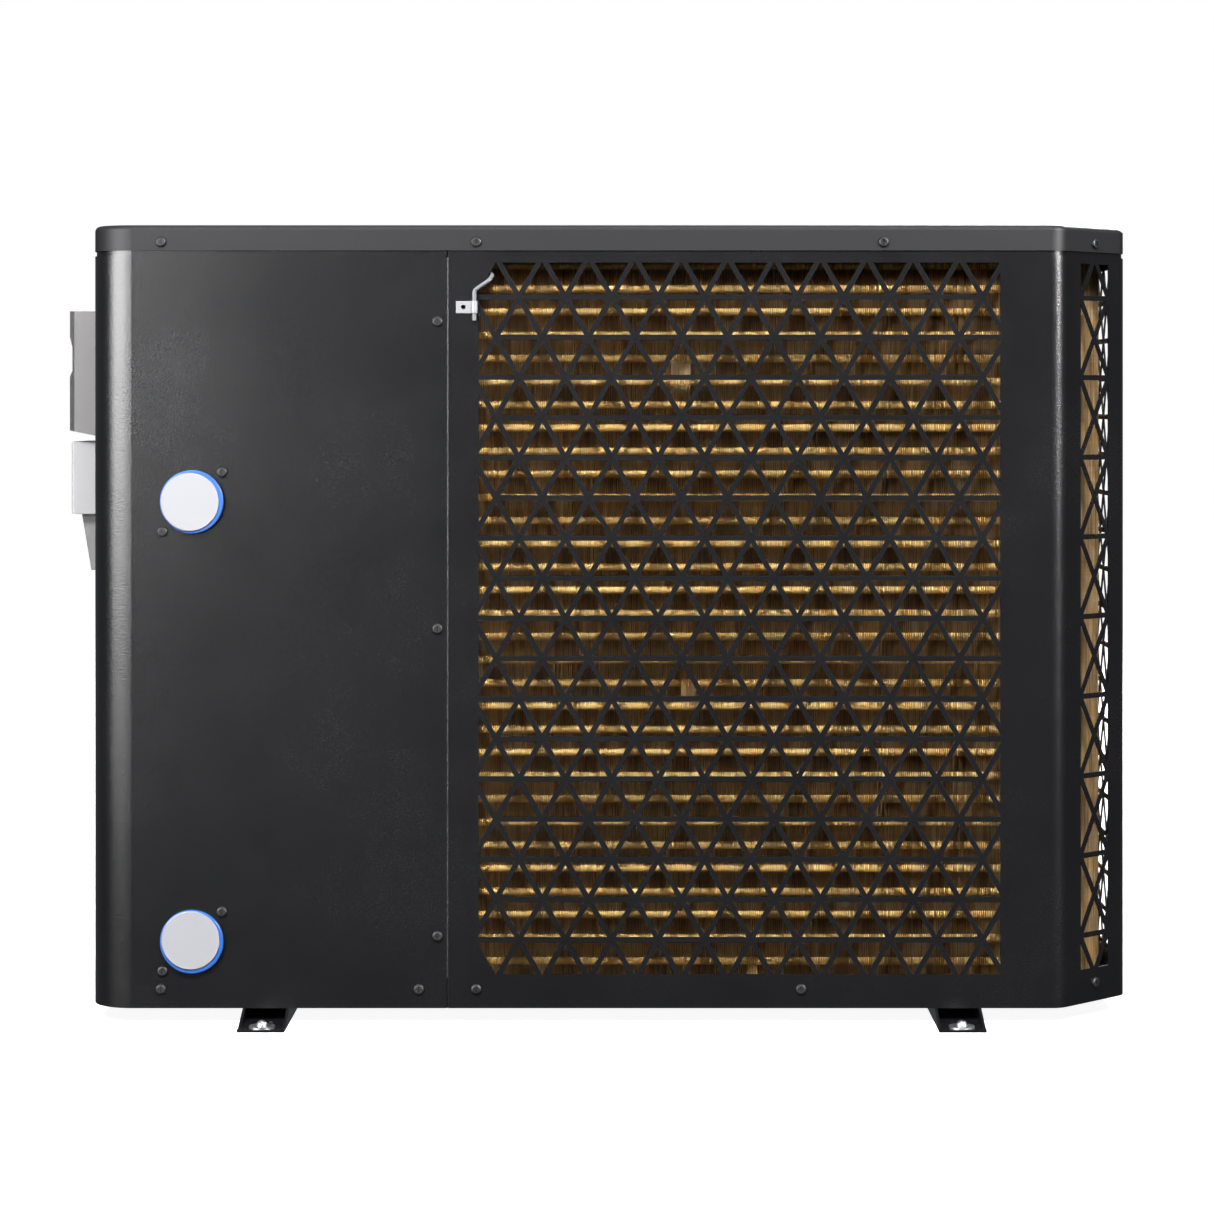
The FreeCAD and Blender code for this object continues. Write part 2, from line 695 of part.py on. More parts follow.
def partition():
    """Upright wall between compressor room and fan room, with a flange at each end."""
    y = HALF_D - SHEET - 2 * SKIN_GAP
    pan_y = y - SHEET - 1
    top = PANEL_TOP - 2 * SHEET
    wall = box((WALL_X, -y, BODY_BOTTOM + PAN_RIM + 1), (WALL_X + SHEET, y, top))
    foot = box((WALL_X, -pan_y, PAN_FLOOR), (WALL_X + SHEET, pan_y, BODY_BOTTOM + PAN_RIM + 1))
    pieces = [wall, foot]
    for side in (-1, 1):
        low, high = sorted((side * y, side * (y - SHEET)))
        pieces.append(box((WALL_X, low, BODY_BOTTOM + PAN_RIM + 1), (WALL_X + WALL_FLANGE, high, top)))
    reach = REFRIGERANT_R + 2
    pipes = [rod(reach, (WALL_X - 5, y_at, z_at), (WALL_X + 5, y_at, z_at))
             for y_at, z_at in (GAS_CROSSING, LIQUID_CROSSING, LEAD_CROSSING)]
    return join(pieces).cut(group(pipes + [CASE_HOLES]))


# ---- air side ----
def fan_guard():
    """Flat rings and spokes that stand out from the front panel on a rim."""
    y0 = HALF_D
    y1 = HALF_D + GUARD_STAND
    middle = (FAN_X, y0, FAN_Z)

    def ring(outer, width, start, end):
        return pipe(outer, outer - width, (FAN_X, start, FAN_Z), (FAN_X, end, FAN_Z))

    step = (GUARD_R - GUARD_HUB_R) / GUARD_RINGS
    pieces = [ring(GUARD_R, GUARD_WIRE, y0, y1)]
    pieces.append(rod(GUARD_HUB_R, (FAN_X, y1 - GUARD_WIRE, FAN_Z), (FAN_X, y1, FAN_Z)))
    for k in range(1, GUARD_RINGS):
        pieces.append(ring(GUARD_HUB_R + k * step, GUARD_WIRE * 0.75, y1 - GUARD_WIRE, y1))
    for k in range(GUARD_SPOKES):
        spoke = box((FAN_X + GUARD_HUB_R - 2, y1 - GUARD_WIRE, FAN_Z - GUARD_WIRE / 2),
                    (FAN_X + GUARD_R - 1, y1, FAN_Z + GUARD_WIRE / 2))
        pieces.append(turned(spoke, 360 * k / GUARD_SPOKES, middle, Y))
    return join(pieces)


def bell_mouth():
    """Ring round the blades, with a lip that lies on the back of the front panel."""
    face = HALF_D - SHEET - SKIN_GAP
    inner = face - BELL_DEPTH
    tube = pipe(BELL_R + BELL_WALL, BELL_R, (FAN_X, inner, FAN_Z), (FAN_X, face, FAN_Z))
    outer_lip = pipe(OUTLET_R + BELL_LIP, BELL_R, (FAN_X, face - BELL_WALL, FAN_Z), (FAN_X, face, FAN_Z))
    start, length = V(FAN_X, inner - BELL_FLARE, FAN_Z), BELL_FLARE + BELL_WALL
    flare = Part.makeCone(BELL_R + BELL_WALL + BELL_FLARE, BELL_R + BELL_WALL, length, start, Y)
    hollow = Part.makeCone(BELL_R + BELL_FLARE, BELL_R, length, start, Y)
    way = rod(BELL_R, (FAN_X, 0, FAN_Z), (FAN_X, face, FAN_Z))
    return join([tube, outer_lip, flare.cut(hollow).cut(way)])


def blade_section(radius, chord, pitch):
    """Outline of a blade at one radius: a thin bar set at its pitch angle."""
    half, thick = chord / 2, BLADE_THICK / 2
    angle = math.radians(pitch)
    points = []
    for along, across in ((-half, 0), (-half * 0.4, thick), (half * 0.6, thick), (half, 0),
                          (half * 0.6, -thick), (-half * 0.4, -thick)):
        y = along * math.sin(angle) + across * math.cos(angle)
        z = along * math.cos(angle) - across * math.sin(angle)
        points.append(V(FAN_X + radius, FAN_Y + y, FAN_Z + z))
    return Part.makePolygon(points + points[:1])


def fan_blades():
    start, end = FAN_Y - HUB_LENGTH / 2, FAN_Y + HUB_LENGTH / 2
    hub = rod(HUB_R, (FAN_X, start, FAN_Z), (FAN_X, end, FAN_Z))
    inside_r, inside_end = HUB_R - HUB_WALL, end - HUB_FACE
    hub = hub.cut(rod(inside_r, (FAN_X, start, FAN_Z), (FAN_X, inside_end, FAN_Z)))
    boss = rod(SHAFT_R + HUB_BOSS_WALL, (FAN_X, start + 12, FAN_Z), (FAN_X, end, FAN_Z))
    sections = [blade_section(base + reach, chord, pitch) for base, (reach, chord, pitch)
                in ((HUB_R, BLADE_ROOT), (HUB_R, BLADE_MIDDLE), (FAN_R, BLADE_TIP))]
    blade = Part.makeLoft(sections, True, False)
    blade = blade.common(rod(FAN_R, (FAN_X, start - HUB_LENGTH, FAN_Z), (FAN_X, end + HUB_LENGTH, FAN_Z)))
    blade = blade.cut(rod(inside_r, (FAN_X, start - 1, FAN_Z), (FAN_X, inside_end, FAN_Z)))
    blades = [turned(blade, 360 * k / BLADES, (FAN_X, FAN_Y, FAN_Z), Y) for k in range(BLADES)]
    rib = box((FAN_X + SHAFT_R + HUB_BOSS_WALL - 2, start + 14, FAN_Z - HUB_RIB_THICK / 2),
              (FAN_X + inside_r + 1, inside_end + 1, FAN_Z + HUB_RIB_THICK / 2))
    ribs = [turned(rib, 360 * k / HUB_RIBS, (FAN_X, FAN_Y, FAN_Z), Y) for k in range(HUB_RIBS)]
    whole = join([hub, boss] + ribs + blades)
    return whole.cut(rod(SHAFT_R + SHAFT_FIT, (FAN_X, start, FAN_Z), (FAN_X, end, FAN_Z)))


def fan_nut():
    y = FAN_Y + HUB_LENGTH / 2 + 0.1
    corners = [(FAN_X + NUT_R * math.cos(math.radians(a)), y, FAN_Z + NUT_R * math.sin(math.radians(a)))
               for a in range(0, 360, 60)]
    nut = prism(corners, Y * NUT_HEIGHT)
    return nut.cut(rod(SHAFT_R + SHAFT_FIT, (FAN_X, y, FAN_Z), (FAN_X, y + NUT_HEIGHT, FAN_Z)))


MOTOR_FRONT_Y = MOTOR_BACK_Y + MOTOR_LENGTH


def fan_motor():
    """Closed round housing with cooling ribs and a bore for the shaft."""
    def along(radius, start, end):
        return rod(radius, (FAN_X, start, FAN_Z), (FAN_X, end, FAN_Z))

    body = along(MOTOR_R, MOTOR_BACK_Y, MOTOR_FRONT_Y)
    rib = box((FAN_X + MOTOR_R - 3, MOTOR_BACK_Y + MOTOR_RIB_IN, FAN_Z - MOTOR_RIB_THICK / 2),
              (FAN_X + MOTOR_R + MOTOR_RIB, MOTOR_FRONT_Y - MOTOR_RIB_IN, FAN_Z + MOTOR_RIB_THICK / 2))
    ribs = [turned(rib, 360 * k / MOTOR_RIBS, (FAN_X, 0, FAN_Z), Y) for k in range(MOTOR_RIBS)]
    boss_end = MOTOR_FRONT_Y + MOTOR_BOSS
    body = join([body, along(MOTOR_BOSS_R, MOTOR_FRONT_Y, boss_end)] + ribs)
    hollow = along(MOTOR_ROTOR_R + ROTOR_AIR, MOTOR_BACK_Y + MOTOR_END, MOTOR_FRONT_Y - MOTOR_END)
    bearing = along(SHAFT_R + SHAFT_FIT, MOTOR_BACK_Y + MOTOR_WALL, boss_end)
    return body.cut(hollow).cut(bearing)


def fan_shaft():
    """Motor shaft with the magnet rotor on it."""
    shaft = rod(SHAFT_R, (FAN_X, MOTOR_BACK_Y + MOTOR_WALL + 1, FAN_Z),
                (FAN_X, FAN_Y + HUB_LENGTH / 2 + SHAFT_TIP, FAN_Z))
    end = MOTOR_END + ROTOR_SIDE
    rotor = rod(MOTOR_ROTOR_R, (FAN_X, MOTOR_BACK_Y + end, FAN_Z), (FAN_X, MOTOR_FRONT_Y - end, FAN_Z))
    return shaft.fuse(rotor).removeSplitter()


def motor_bracket():
    """Two upright channels from the pan to the top, joined by a plate that carries the motor."""
    back = MOTOR_BACK_Y - BRACKET_DEPTH
    pieces = []
    for side in (-1, 1):
        x = FAN_X + side * BRACKET_SPREAD
        outer = box((x - BRACKET_WIDTH / 2, back, PAN_FLOOR),
                    (x + BRACKET_WIDTH / 2, MOTOR_BACK_Y, PANEL_TOP + TONGUE))
        inside = BRACKET_WIDTH / 2 - BRACKET_WALL
        inner = box((x - inside, back, PAN_FLOOR),
                    (x + inside, MOTOR_BACK_Y - BRACKET_WALL, PANEL_TOP + TONGUE))
        pieces.append(outer.cut(inner))
    half = BRACKET_TIE / 2
    for rise in (-BRACKET_TIE_AT, BRACKET_TIE_AT):
        pieces.append(box((FAN_X - BRACKET_SPREAD, MOTOR_BACK_Y - BRACKET_WALL, FAN_Z + rise - half),
                          (FAN_X + BRACKET_SPREAD, MOTOR_BACK_Y, FAN_Z + rise + half)))
    return join(pieces)


# ---- evaporator ----
def coil_path_solid(inset, z0, z1):
    """The L-shaped coil seen from above, its skins moved in by inset, between two heights."""
    y0, y1 = COIL_Y0 + inset, COIL_Y1 - inset
    x0, x1 = COIL_X1 - inset, COIL_X1 - COIL_THICK + inset
    hub = V(COIL_X1 - COIL_BEND_R, COIL_Y0 + COIL_BEND_R, z0)
    far, near = COIL_BEND_R - inset, COIL_BEND_R - COIL_THICK + inset
    diagonal = V(1, -1, 0).normalize()
    edges = [
        Part.makeLine(V(COIL_LEFT, y0, z0), V(hub.x, y0, z0)),
        Part.Arc(V(hub.x, y0, z0), hub + diagonal * far, V(x0, hub.y, z0)).toShape(),
        Part.makeLine(V(x0, hub.y, z0), V(x0, COIL_SIDE_END, z0)),
        Part.makeLine(V(x0, COIL_SIDE_END, z0), V(x1, COIL_SIDE_END, z0)),
        Part.makeLine(V(x1, COIL_SIDE_END, z0), V(x1, hub.y, z0)),
        Part.Arc(V(x1, hub.y, z0), hub + diagonal * near, V(hub.x, y1, z0)).toShape(),
        Part.makeLine(V(hub.x, y1, z0), V(COIL_LEFT, y1, z0)),
        Part.makeLine(V(COIL_LEFT, y1, z0), V(COIL_LEFT, y0, z0))]
    return Part.Face(Part.Wire(edges)).extrude(Z * (z1 - z0))


def tube_heights():
    return [COIL_BOTTOM + TUBE_PITCH * (k + 0.5) for k in range(TUBE_COUNT)]


def end_plates():
    """Plate at each end of the fins, down to the pan, with a hole for every tube."""
    lip = END_PLATE_LIP
    left = box((COIL_LEFT - END_PLATE, COIL_Y0 - lip, PAN_FLOOR), (COIL_LEFT, COIL_Y1 + lip, COIL_TOP))
    far = box((COIL_X1 - COIL_THICK - lip, COIL_SIDE_END, PAN_FLOOR),
              (COIL_X1 + lip, COIL_SIDE_END + END_PLATE, COIL_TOP))
    return group([left, far])


def return_bend(place, out, low, high):
    """Half turn of tube between two heights, standing out from an end plate."""
    hub = place + out * TUBE_STUB + Z * ((low + high) / 2)
    pieces = [Part.makeCylinder(TUBE_R, TUBE_STUB, place + Z * z, out) for z in (low, high)]
    start = place + out * TUBE_STUB + Z * high
    section = Part.Face(Part.Wire(Part.makeCircle(TUBE_R, start, out)))
    pieces.append(section.revolve(hub, Z.cross(out), 180))
    return join(pieces)


def return_bends():
    heights = tube_heights()
    bends = []
    left = COIL_LEFT - END_PLATE
    far = COIL_SIDE_END + END_PLATE
    for k in range(0, TUBE_COUNT, 2):
        bends.append(return_bend(V(left, TUBE_ROW_Y[0], 0), -X, heights[k], heights[k + 1]))
        for x in TUBE_ROW_X:
            bends.append(return_bend(V(x, far, 0), Y, heights[k], heights[k + 1]))
    for k in range(0, TUBE_COUNT, CIRCUIT):
        bends.append(return_bend(V(left, TUBE_ROW_Y[1], 0), -X, heights[k + 1], heights[k + 2]))
    return group(bends)


def header():
    """Upright gas header with a feeder to one tube of each circuit."""
    heights = tube_heights()
    pieces = [rod(HEADER_R, (HEADER_X, HEADER_Y, heights[0] - HEADER_END),
                  (HEADER_X, HEADER_Y, heights[-CIRCUIT] + HEADER_END))]
    for k in range(0, TUBE_COUNT, CIRCUIT):
        pieces.append(rod(TUBE_R, (HEADER_X, HEADER_Y, heights[k]),
                          (COIL_LEFT - END_PLATE, HEADER_Y, heights[k])))
    return join(pieces)


DISTRIBUTOR = V(-160.0, -80.0, 62.0)
DISTRIBUTOR_HEIGHT = 26.0
CAPILLARY_STEP = 3.6


def distributor():
    """Wedge that splits the liquid into one thin tube per circuit, the tubes side by side."""
    count = TUBE_COUNT // CIRCUIT
    half = CAPILLARY_STEP * count / 2
    low, top = DISTRIBUTOR, DISTRIBUTOR + Z * DISTRIBUTOR_HEIGHT
    outline = [low - X * 6, low + X * 6, top + X * half, top - X * half]
    pieces = [prism([p - Y * 6 for p in outline], Y * 12)]
    heights = tube_heights()
    last_x = COIL_LEFT - END_PLATE
    for n in range(count):
        x = top.x + CAPILLARY_STEP * (n - (count - 1) / 2)
        z = heights[CIRCUIT * n + CIRCUIT - 1]
        route = [(x, top.y, top.z), (x, top.y, z), (last_x - 7, HEADER_Y, z), (last_x, HEADER_Y, z)]
        pieces.append(bent_rod(route, 2.5 * CAPILLARY_R, CAPILLARY_R))
    return group(pieces)


# ---- compressor ----
def compressor_feet():
    return [(COMP_X + COMP_FOOT_R * math.cos(math.radians(a)),
             COMP_Y + COMP_FOOT_R * math.sin(math.radians(a))) for a in (60, 180, 300)]


def compressor_rod(radius, z0, z1):
    return rod(radius, (COMP_X, COMP_Y, z0), (COMP_X, COMP_Y, z1))


def compressor_shell():
    """Closed steel can with domed ends on a three-cornered foot plate."""
    base = CAN_BASE
    can = compressor_rod(COMP_R, base, base + COMP_HEIGHT)
    can = can.makeFillet(COMP_DOME_R, [can.Edges[0], can.Edges[2]])
    hollow = compressor_rod(COMP_R - COMP_WALL, base + COMP_WALL, base + COMP_HEIGHT - COMP_WALL)
    hollow = hollow.makeFillet(COMP_DOME_R - COMP_WALL, [hollow.Edges[0], hollow.Edges[2]])
    corners = [(x, y, COMP_FLOOR) for x, y in compressor_feet()]
    plate = prism(corners, Z * FOOT_PLATE)
    pads = [rod(GROMMET_R + 3, (x, y, COMP_FLOOR), (x, y, base)) for x, y in compressor_feet()]
    whole = join([can, plate, compressor_rod(COMP_R * 0.5, COMP_FLOOR, base + COMP_WALL / 2)] + pads)
    studs = [rod(STUD_R, (x, y, COMP_FLOOR), (x, y, base)) for x, y in compressor_feet()]
    return whole.cut(hollow).cut(group(studs))


def compressor_cylinder():
    """Pump block under the motor, with the crankshaft's bearing through it."""
    outer = COMP_R - COMP_WALL - 0.05
    block = join([compressor_rod(outer, CAN_BASE + PUMP_LOW, CAN_BASE + PUMP_TOP),
                  compressor_rod(BEARING_R, CAN_BASE + PUMP_TOP, CAN_BASE + BEARING_TOP)])
    return block.cut(compressor_rod(CRANK_R + SHAFT_FIT, CAN_BASE + PUMP_LOW, CAN_BASE + BEARING_TOP))


def compressor_rotor():
    """Crankshaft with the motor's rotor on it."""
    rotor = compressor_rod(STATOR_IN_R - ROTOR_AIR, CAN_BASE + ROTOR_LOW, CAN_BASE + ROTOR_TOP)
    shaft = compressor_rod(CRANK_R, CAN_BASE + CRANK_LOW, CAN_BASE + CRANK_TOP)
    return rotor.fuse(shaft).removeSplitter()


def compressor_grommets():
    return group([pipe(GROMMET_R, STUD_R, (x, y, PAN_FLOOR), (x, y, COMP_FLOOR))
                  for x, y in compressor_feet()])


def compressor_studs():
    """Stud with a round nut at each foot."""
    studs = []
    for x, y in compressor_feet():
        nut = rod(STUD_R * 2, (x, y, CAN_BASE), (x, y, CAN_BASE + STUD_NUT))
        stud = rod(STUD_R, (x, y, BODY_BOTTOM), (x, y, CAN_BASE + STUD_TOP))
        studs.append(stud.fuse(nut).removeSplitter())
    return group(studs)


def accumulator():
    """Small can beside the compressor, with the elbow that leads into the compressor's shell."""
    base = ACC_TOP - ACC_HEIGHT
    can = rod(ACC_R, (ACC_X, ACC_Y, base), (ACC_X, ACC_Y, ACC_TOP))
    can = can.makeFillet(ACC_R * ACC_DOME, [can.Edges[0], can.Edges[2]])
    low, port_y = base - ACC_ELBOW_DOWN, COMP_Y + ACC_ELBOW_IN
    route = [(ACC_X, ACC_Y, base + 2), (ACC_X, ACC_Y, low),
             (COMP_X, port_y, low), (COMP_X, port_y, base + ACC_ELBOW_UP)]
    elbow = bent_rod(route, ACC_BEND, REFRIGERANT_R)
    joint = elbow.cut(compressor_shell()).Solids
    return join([can, max(joint, key=lambda s: s.Volume)])


# ---- refrigerant pipes and valves ----
COMP_TOP = CAN_BASE + COMP_HEIGHT
GAS_CROSSING = (-120.0, 470.0)
LIQUID_CROSSING = (-50.0, 158.0)
LEAD_CROSSING = (-186.0, 700.0)
PORT_STEP = 25.0
GAS_BEND = 16.0


def copper(points):
    return bent_pipe(points, GAS_BEND, REFRIGERANT_R, REFRIGERANT_R - REFRIGERANT_WALL)


def refrigerant_pipes():
    """Discharge, suction, exchanger gas, evaporator gas and the two liquid pipes."""
    top = VALVE_Z + VALVE_R
    high = top + 40
    shell = WATER_X + EXCHANGER_R
    side_y = EXCHANGER_Y
    discharge = pipe(REFRIGERANT_R, REFRIGERANT_R - REFRIGERANT_WALL,
                     (COMP_X, COMP_Y, COMP_TOP), (COMP_X, COMP_Y, VALVE_Z - VALVE_R))
    suction = copper([(COMP_X, COMP_Y, top), (COMP_X, COMP_Y, high),
                      (ACC_X, ACC_Y, high), (ACC_X, ACC_Y, ACC_TOP)])
    left = COMP_X - PORT_STEP
    to_exchanger = copper([(left, COMP_Y, top), (left, COMP_Y, high), (left, side_y, high),
                           (left, side_y, high - 45), (shell, side_y, high - 45)])
    right = COMP_X + PORT_STEP
    y, z = GAS_CROSSING
    to_coil = copper([(right, COMP_Y, top), (right, COMP_Y, z), (right, y, z),
                      (HEADER_X, y, z), (HEADER_X, HEADER_Y + HEADER_R, z)])
    liquid_z = LIQUID_CROSSING[1]
    in_liquid = copper([(shell, side_y, liquid_z), (EXPANSION_X, side_y, liquid_z),
                        (EXPANSION_X, EXPANSION_Y, liquid_z), (EXPANSION_X, EXPANSION_Y, EXPANSION_Z)])
    return group([discharge, suction, to_exchanger, to_coil, in_liquid, to_distributor()])


def to_distributor():
    """Thin pipe from the expansion valve's side through the partition to the foot of the distributor."""
    y, z = LIQUID_CROSSING
    low = DISTRIBUTOR.z - 20
    out_z = EXPANSION_Z + 24
    turn_x = EXPANSION_X + 24
    route = [(EXPANSION_X + VALVE_BODY_R, EXPANSION_Y, out_z), (turn_x, EXPANSION_Y, out_z),
             (turn_x, EXPANSION_Y, z), (turn_x, y, z), (DISTRIBUTOR.x, y, z),
             (DISTRIBUTOR.x, y, low), (DISTRIBUTOR.x, DISTRIBUTOR.y, low), DISTRIBUTOR]
    return bent_pipe(route, LIQUID_BEND, LIQUID_R, LIQUID_R - REFRIGERANT_WALL)


def reversing_valve():
    """Four-way valve body: closed tube with caps and a pilot valve with its coil on its side."""
    def along(radius, x0, x1):
        return rod(radius, (x0, COMP_Y, VALVE_Z), (x1, COMP_Y, VALVE_Z))

    x0, x1 = COMP_X - VALVE_LENGTH / 2, COMP_X + VALVE_LENGTH / 2
    inside = along(VALVE_R - VALVE_WALL, x0 + VALVE_END, x1 - VALVE_END)
    y = COMP_Y + VALVE_R
    pilot_y = y + PILOT_AWAY
    start, end = COMP_X + PILOT_SPAN[0], COMP_X + PILOT_SPAN[1]
    pilot = rod(PILOT_R, (start, pilot_y, VALVE_Z), (end, pilot_y, VALVE_Z))
    coil = box((COMP_X + PILOT_COIL[0], y + 1, VALVE_Z - PILOT_COIL_HALF),
               (COMP_X + PILOT_COIL[1], y + PILOT_COIL_DEPTH, VALVE_Z + PILOT_COIL_HALF))
    bridge = box((start, y - 1, VALVE_Z - 3), (start + BRIDGE, pilot_y, VALVE_Z + 3))
    return join([along(VALVE_R, x0, x1), pilot, coil, bridge]).cut(inside)


def valve_slide():
    """Piston pair and slide that connect the ports two ways."""
    radius = VALVE_R - VALVE_WALL - VALVE_FIT
    cap = VALVE_END + 1
    start = COMP_X - VALVE_LENGTH / 2 + cap
    end = start + VALVE_LENGTH - 2 * cap - VALVE_STROKE
    pieces = [rod(3, (start, COMP_Y, VALVE_Z), (end, COMP_Y, VALVE_Z))]
    for x in (start, end - PISTON):
        pieces.append(rod(radius, (x, COMP_Y, VALVE_Z), (x + PISTON, COMP_Y, VALVE_Z)))
    middle = (start + end) / 2
    deep, tall = SLIDE_HALF
    pieces.append(box((middle - SLIDE_LENGTH / 2, COMP_Y - deep, VALVE_Z - tall),
                      (middle + SLIDE_LENGTH / 2, COMP_Y + deep, VALVE_Z + tall)))
    return join(pieces)


def expansion_valve():
    """Body, round coil and top of the electronic expansion valve."""
    steps = ((VALVE_BODY_R, 0, EXPANSION_BODY), (EXPANSION_COIL_R, EXPANSION_BODY, EXPANSION_COIL_TOP),
             (EXPANSION_TOP_R, EXPANSION_COIL_TOP, EXPANSION_TOP))
    return join([rod(radius, (EXPANSION_X, EXPANSION_Y, EXPANSION_Z + low),
                     (EXPANSION_X, EXPANSION_Y, EXPANSION_Z + high)) for radius, low, high in steps])


# ---- water side ----
EXCHANGER_Z0 = WATER_LOW_Z + ELBOW_R + PIPE_STUB
EXCHANGER_Z1 = WATER_HIGH_Z - ELBOW_R - PIPE_STUB
PANEL_BACK = -HALF_D + SHEET


def exchanger_shell():
    """Upright pressure vessel between its two end caps."""
    z0, z1 = EXCHANGER_Z0 + EXCHANGER_CAP / 2, EXCHANGER_Z1 - EXCHANGER_CAP / 2
    inner = EXCHANGER_R - EXCHANGER_WALL
    return pipe(EXCHANGER_R, inner, (WATER_X, EXCHANGER_Y, z0), (WATER_X, EXCHANGER_Y, z1))


def exchanger_cap(z, up):
    """Flanged cap that holds the shell's end and takes the water pipe."""
    def along(radius, a, b):
        return rod(radius, (WATER_X, EXCHANGER_Y, z + up * a), (WATER_X, EXCHANGER_Y, z + up * b))

    cap = along(EXCHANGER_CAP_R, 0, EXCHANGER_CAP)
    cap = cap.cut(along(EXCHANGER_R + SKIN_GAP / 3, EXCHANGER_CAP / 2, EXCHANGER_CAP))
    return cap.cut(along(PIPE_R - PIPE_WALL, 0, EXCHANGER_CAP))


def exchanger_caps():
    return group([exchanger_cap(EXCHANGER_Z0, 1), exchanger_cap(EXCHANGER_Z1, -1)])


def exchanger_coil():
    """Titanium coil, turn on turn."""
    z0, z1 = EXCHANGER_Z0 + EXCHANGER_CAP + 12, EXCHANGER_Z1 - EXCHANGER_CAP - 12
    step = (z1 - z0) / (COIL_TURNS - 1)
    return group([Part.makeTorus(COIL_TURN_R, COIL_TUBE_R, V(WATER_X, EXCHANGER_Y, z0 + k * step))
                  for k in range(COIL_TURNS)])


def water_pipe(z, to_z):
    """Socket with its flange behind the panel, straight run and elbow to the exchanger."""
    nose = -HALF_D - SOCKET_FRONT
    behind = PANEL_BACK + SKIN_GAP
    socket_end = nose + SOCKET_DEPTH

    def along(radius, a, b):
        return rod(radius, (WATER_X, a, z), (WATER_X, b, z))

    socket = along(SOCKET_RIM_R, nose, socket_end + 4)
    flange = along(FLANGE_R, behind, behind + FLANGE_THICK)
    above_rim = box((-HALF_W, -HALF_D, BODY_BOTTOM + PAN_RIM + 1), (0, 0, HEIGHT))
    flange = flange.common(above_rim)
    route = [(WATER_X, socket_end, z), (WATER_X, EXCHANGER_Y, z), (WATER_X, EXCHANGER_Y, to_z)]
    run = bent_rod(route, ELBOW_R, PIPE_R)
    hollow = bent_rod(route, ELBOW_R, PIPE_R - PIPE_WALL)
    whole = join([socket, flange, run]).cut(hollow).cut(along(SOCKET_R, nose - 1, socket_end))
    return whole.cut(along(PLUG_SEAT_R, nose - 1, nose + PLUG_SEAT)).cut(FLANGE_HOLES)


def water_inlet_pipe():
    """Lower pipe, with a round opening on top for the flow switch."""
    whole = water_pipe(WATER_LOW_Z, EXCHANGER_Z0)
    top = WATER_LOW_Z + PIPE_R + 1
    stem = rod(SWITCH_STEM_R, (WATER_X, SWITCH_Y, WATER_LOW_Z), (WATER_X, SWITCH_Y, top))
    return whole.cut(stem)


PIVOT_Z = WATER_LOW_Z + PIPE_R - PIPE_WALL - 4


def flow_switch():
    """Switch body on the pipe; its stem ends in two ears that carry the paddle's pin."""
    top = WATER_LOW_Z + PIPE_R
    stem = rod(SWITCH_STEM_R - SHAFT_FIT, (WATER_X, SWITCH_Y, PIVOT_Z + 3),
               (WATER_X, SWITCH_Y, top + SWITCH_STEM_UP))
    wide, deep, low = SWITCH_WIDTH / 2, SWITCH_DEPTH / 2, top + 2
    body = box((WATER_X - wide, SWITCH_Y - deep, low), (WATER_X + wide, SWITCH_Y + deep, low + SWITCH_HEIGHT))
    body = body.makeFillet(3, [e for e in body.Edges if e.BoundBox.ZLength > SWITCH_HEIGHT / 2])
    ears = [box((x, SWITCH_Y - 3, PIVOT_Z - 3), (x + EAR_THICK, SWITCH_Y + 3, PIVOT_Z + 4))
            for x in (WATER_X - EAR_OUT, WATER_X + EAR_OUT - EAR_THICK)]
    pin = rod(PADDLE_PIN_R, (WATER_X - EAR_OUT, SWITCH_Y, PIVOT_Z), (WATER_X + EAR_OUT, SWITCH_Y, PIVOT_Z))
    return join([body, stem] + ears + [pin])


def flow_paddle():
    """Thin paddle that hangs in the water from the pin."""
    half = PADDLE_THICK / 2
    eye = rod(PADDLE_PIN_R + PADDLE_EYE, (WATER_X - 4, SWITCH_Y, PIVOT_Z), (WATER_X + 4, SWITCH_Y, PIVOT_Z))
    blade = box((WATER_X - PADDLE_WIDTH / 2, SWITCH_Y - half, PIVOT_Z - PADDLE_LENGTH),
                (WATER_X + PADDLE_WIDTH / 2, SWITCH_Y + half, PIVOT_Z - PADDLE_DROP))
    neck = box((WATER_X - 3, SWITCH_Y - half, PIVOT_Z - PADDLE_DROP - 1),
               (WATER_X + 3, SWITCH_Y + half, PIVOT_Z))
    bore = rod(PADDLE_PIN_R + SHAFT_FIT, (WATER_X - EAR_OUT, SWITCH_Y, PIVOT_Z),
               (WATER_X + EAR_OUT, SWITCH_Y, PIVOT_Z))
    return join([eye, blade, neck]).cut(bore)


def transport_plug(z):
    """Blue push-in plug: a rim on the socket's face and a hollow cup in its mouth."""
    face = -HALF_D - SOCKET_FRONT

    def along(radius, a, b):
        return rod(radius, (WATER_X, a, z), (WATER_X, b, z))

    rim = along(PLUG_RIM_R, face - PLUG_RIM, face - 0.05)
    rim = rim.makeFillet(1.0, [e for e in rim.Edges if abs(e.BoundBox.YMax - face + PLUG_RIM) < 0.01])
    cup = along(PLUG_SEAT_R - PLUG_FIT, face - 0.05, face + PLUG_DEPTH)
    hollow = along(PLUG_SEAT_R - PLUG_FIT - PLUG_WALL, face - PLUG_RIM + 2, face + PLUG_DEPTH)
    return join([rim, cup]).cut(hollow)


def plug_disc(z, shift_x, shift_z):
    """White disc stuck a little off the middle of the plug's face."""
    x, y = WATER_X + shift_x, -HALF_D - SOCKET_FRONT - PLUG_RIM
    disc = rod(DISC_R, (x, y - DISC_THICK, z + shift_z), (x, y, z + shift_z))
    return disc.makeFillet(0.5, [e for e in disc.Edges if e.BoundBox.YMax < y - 0.1])


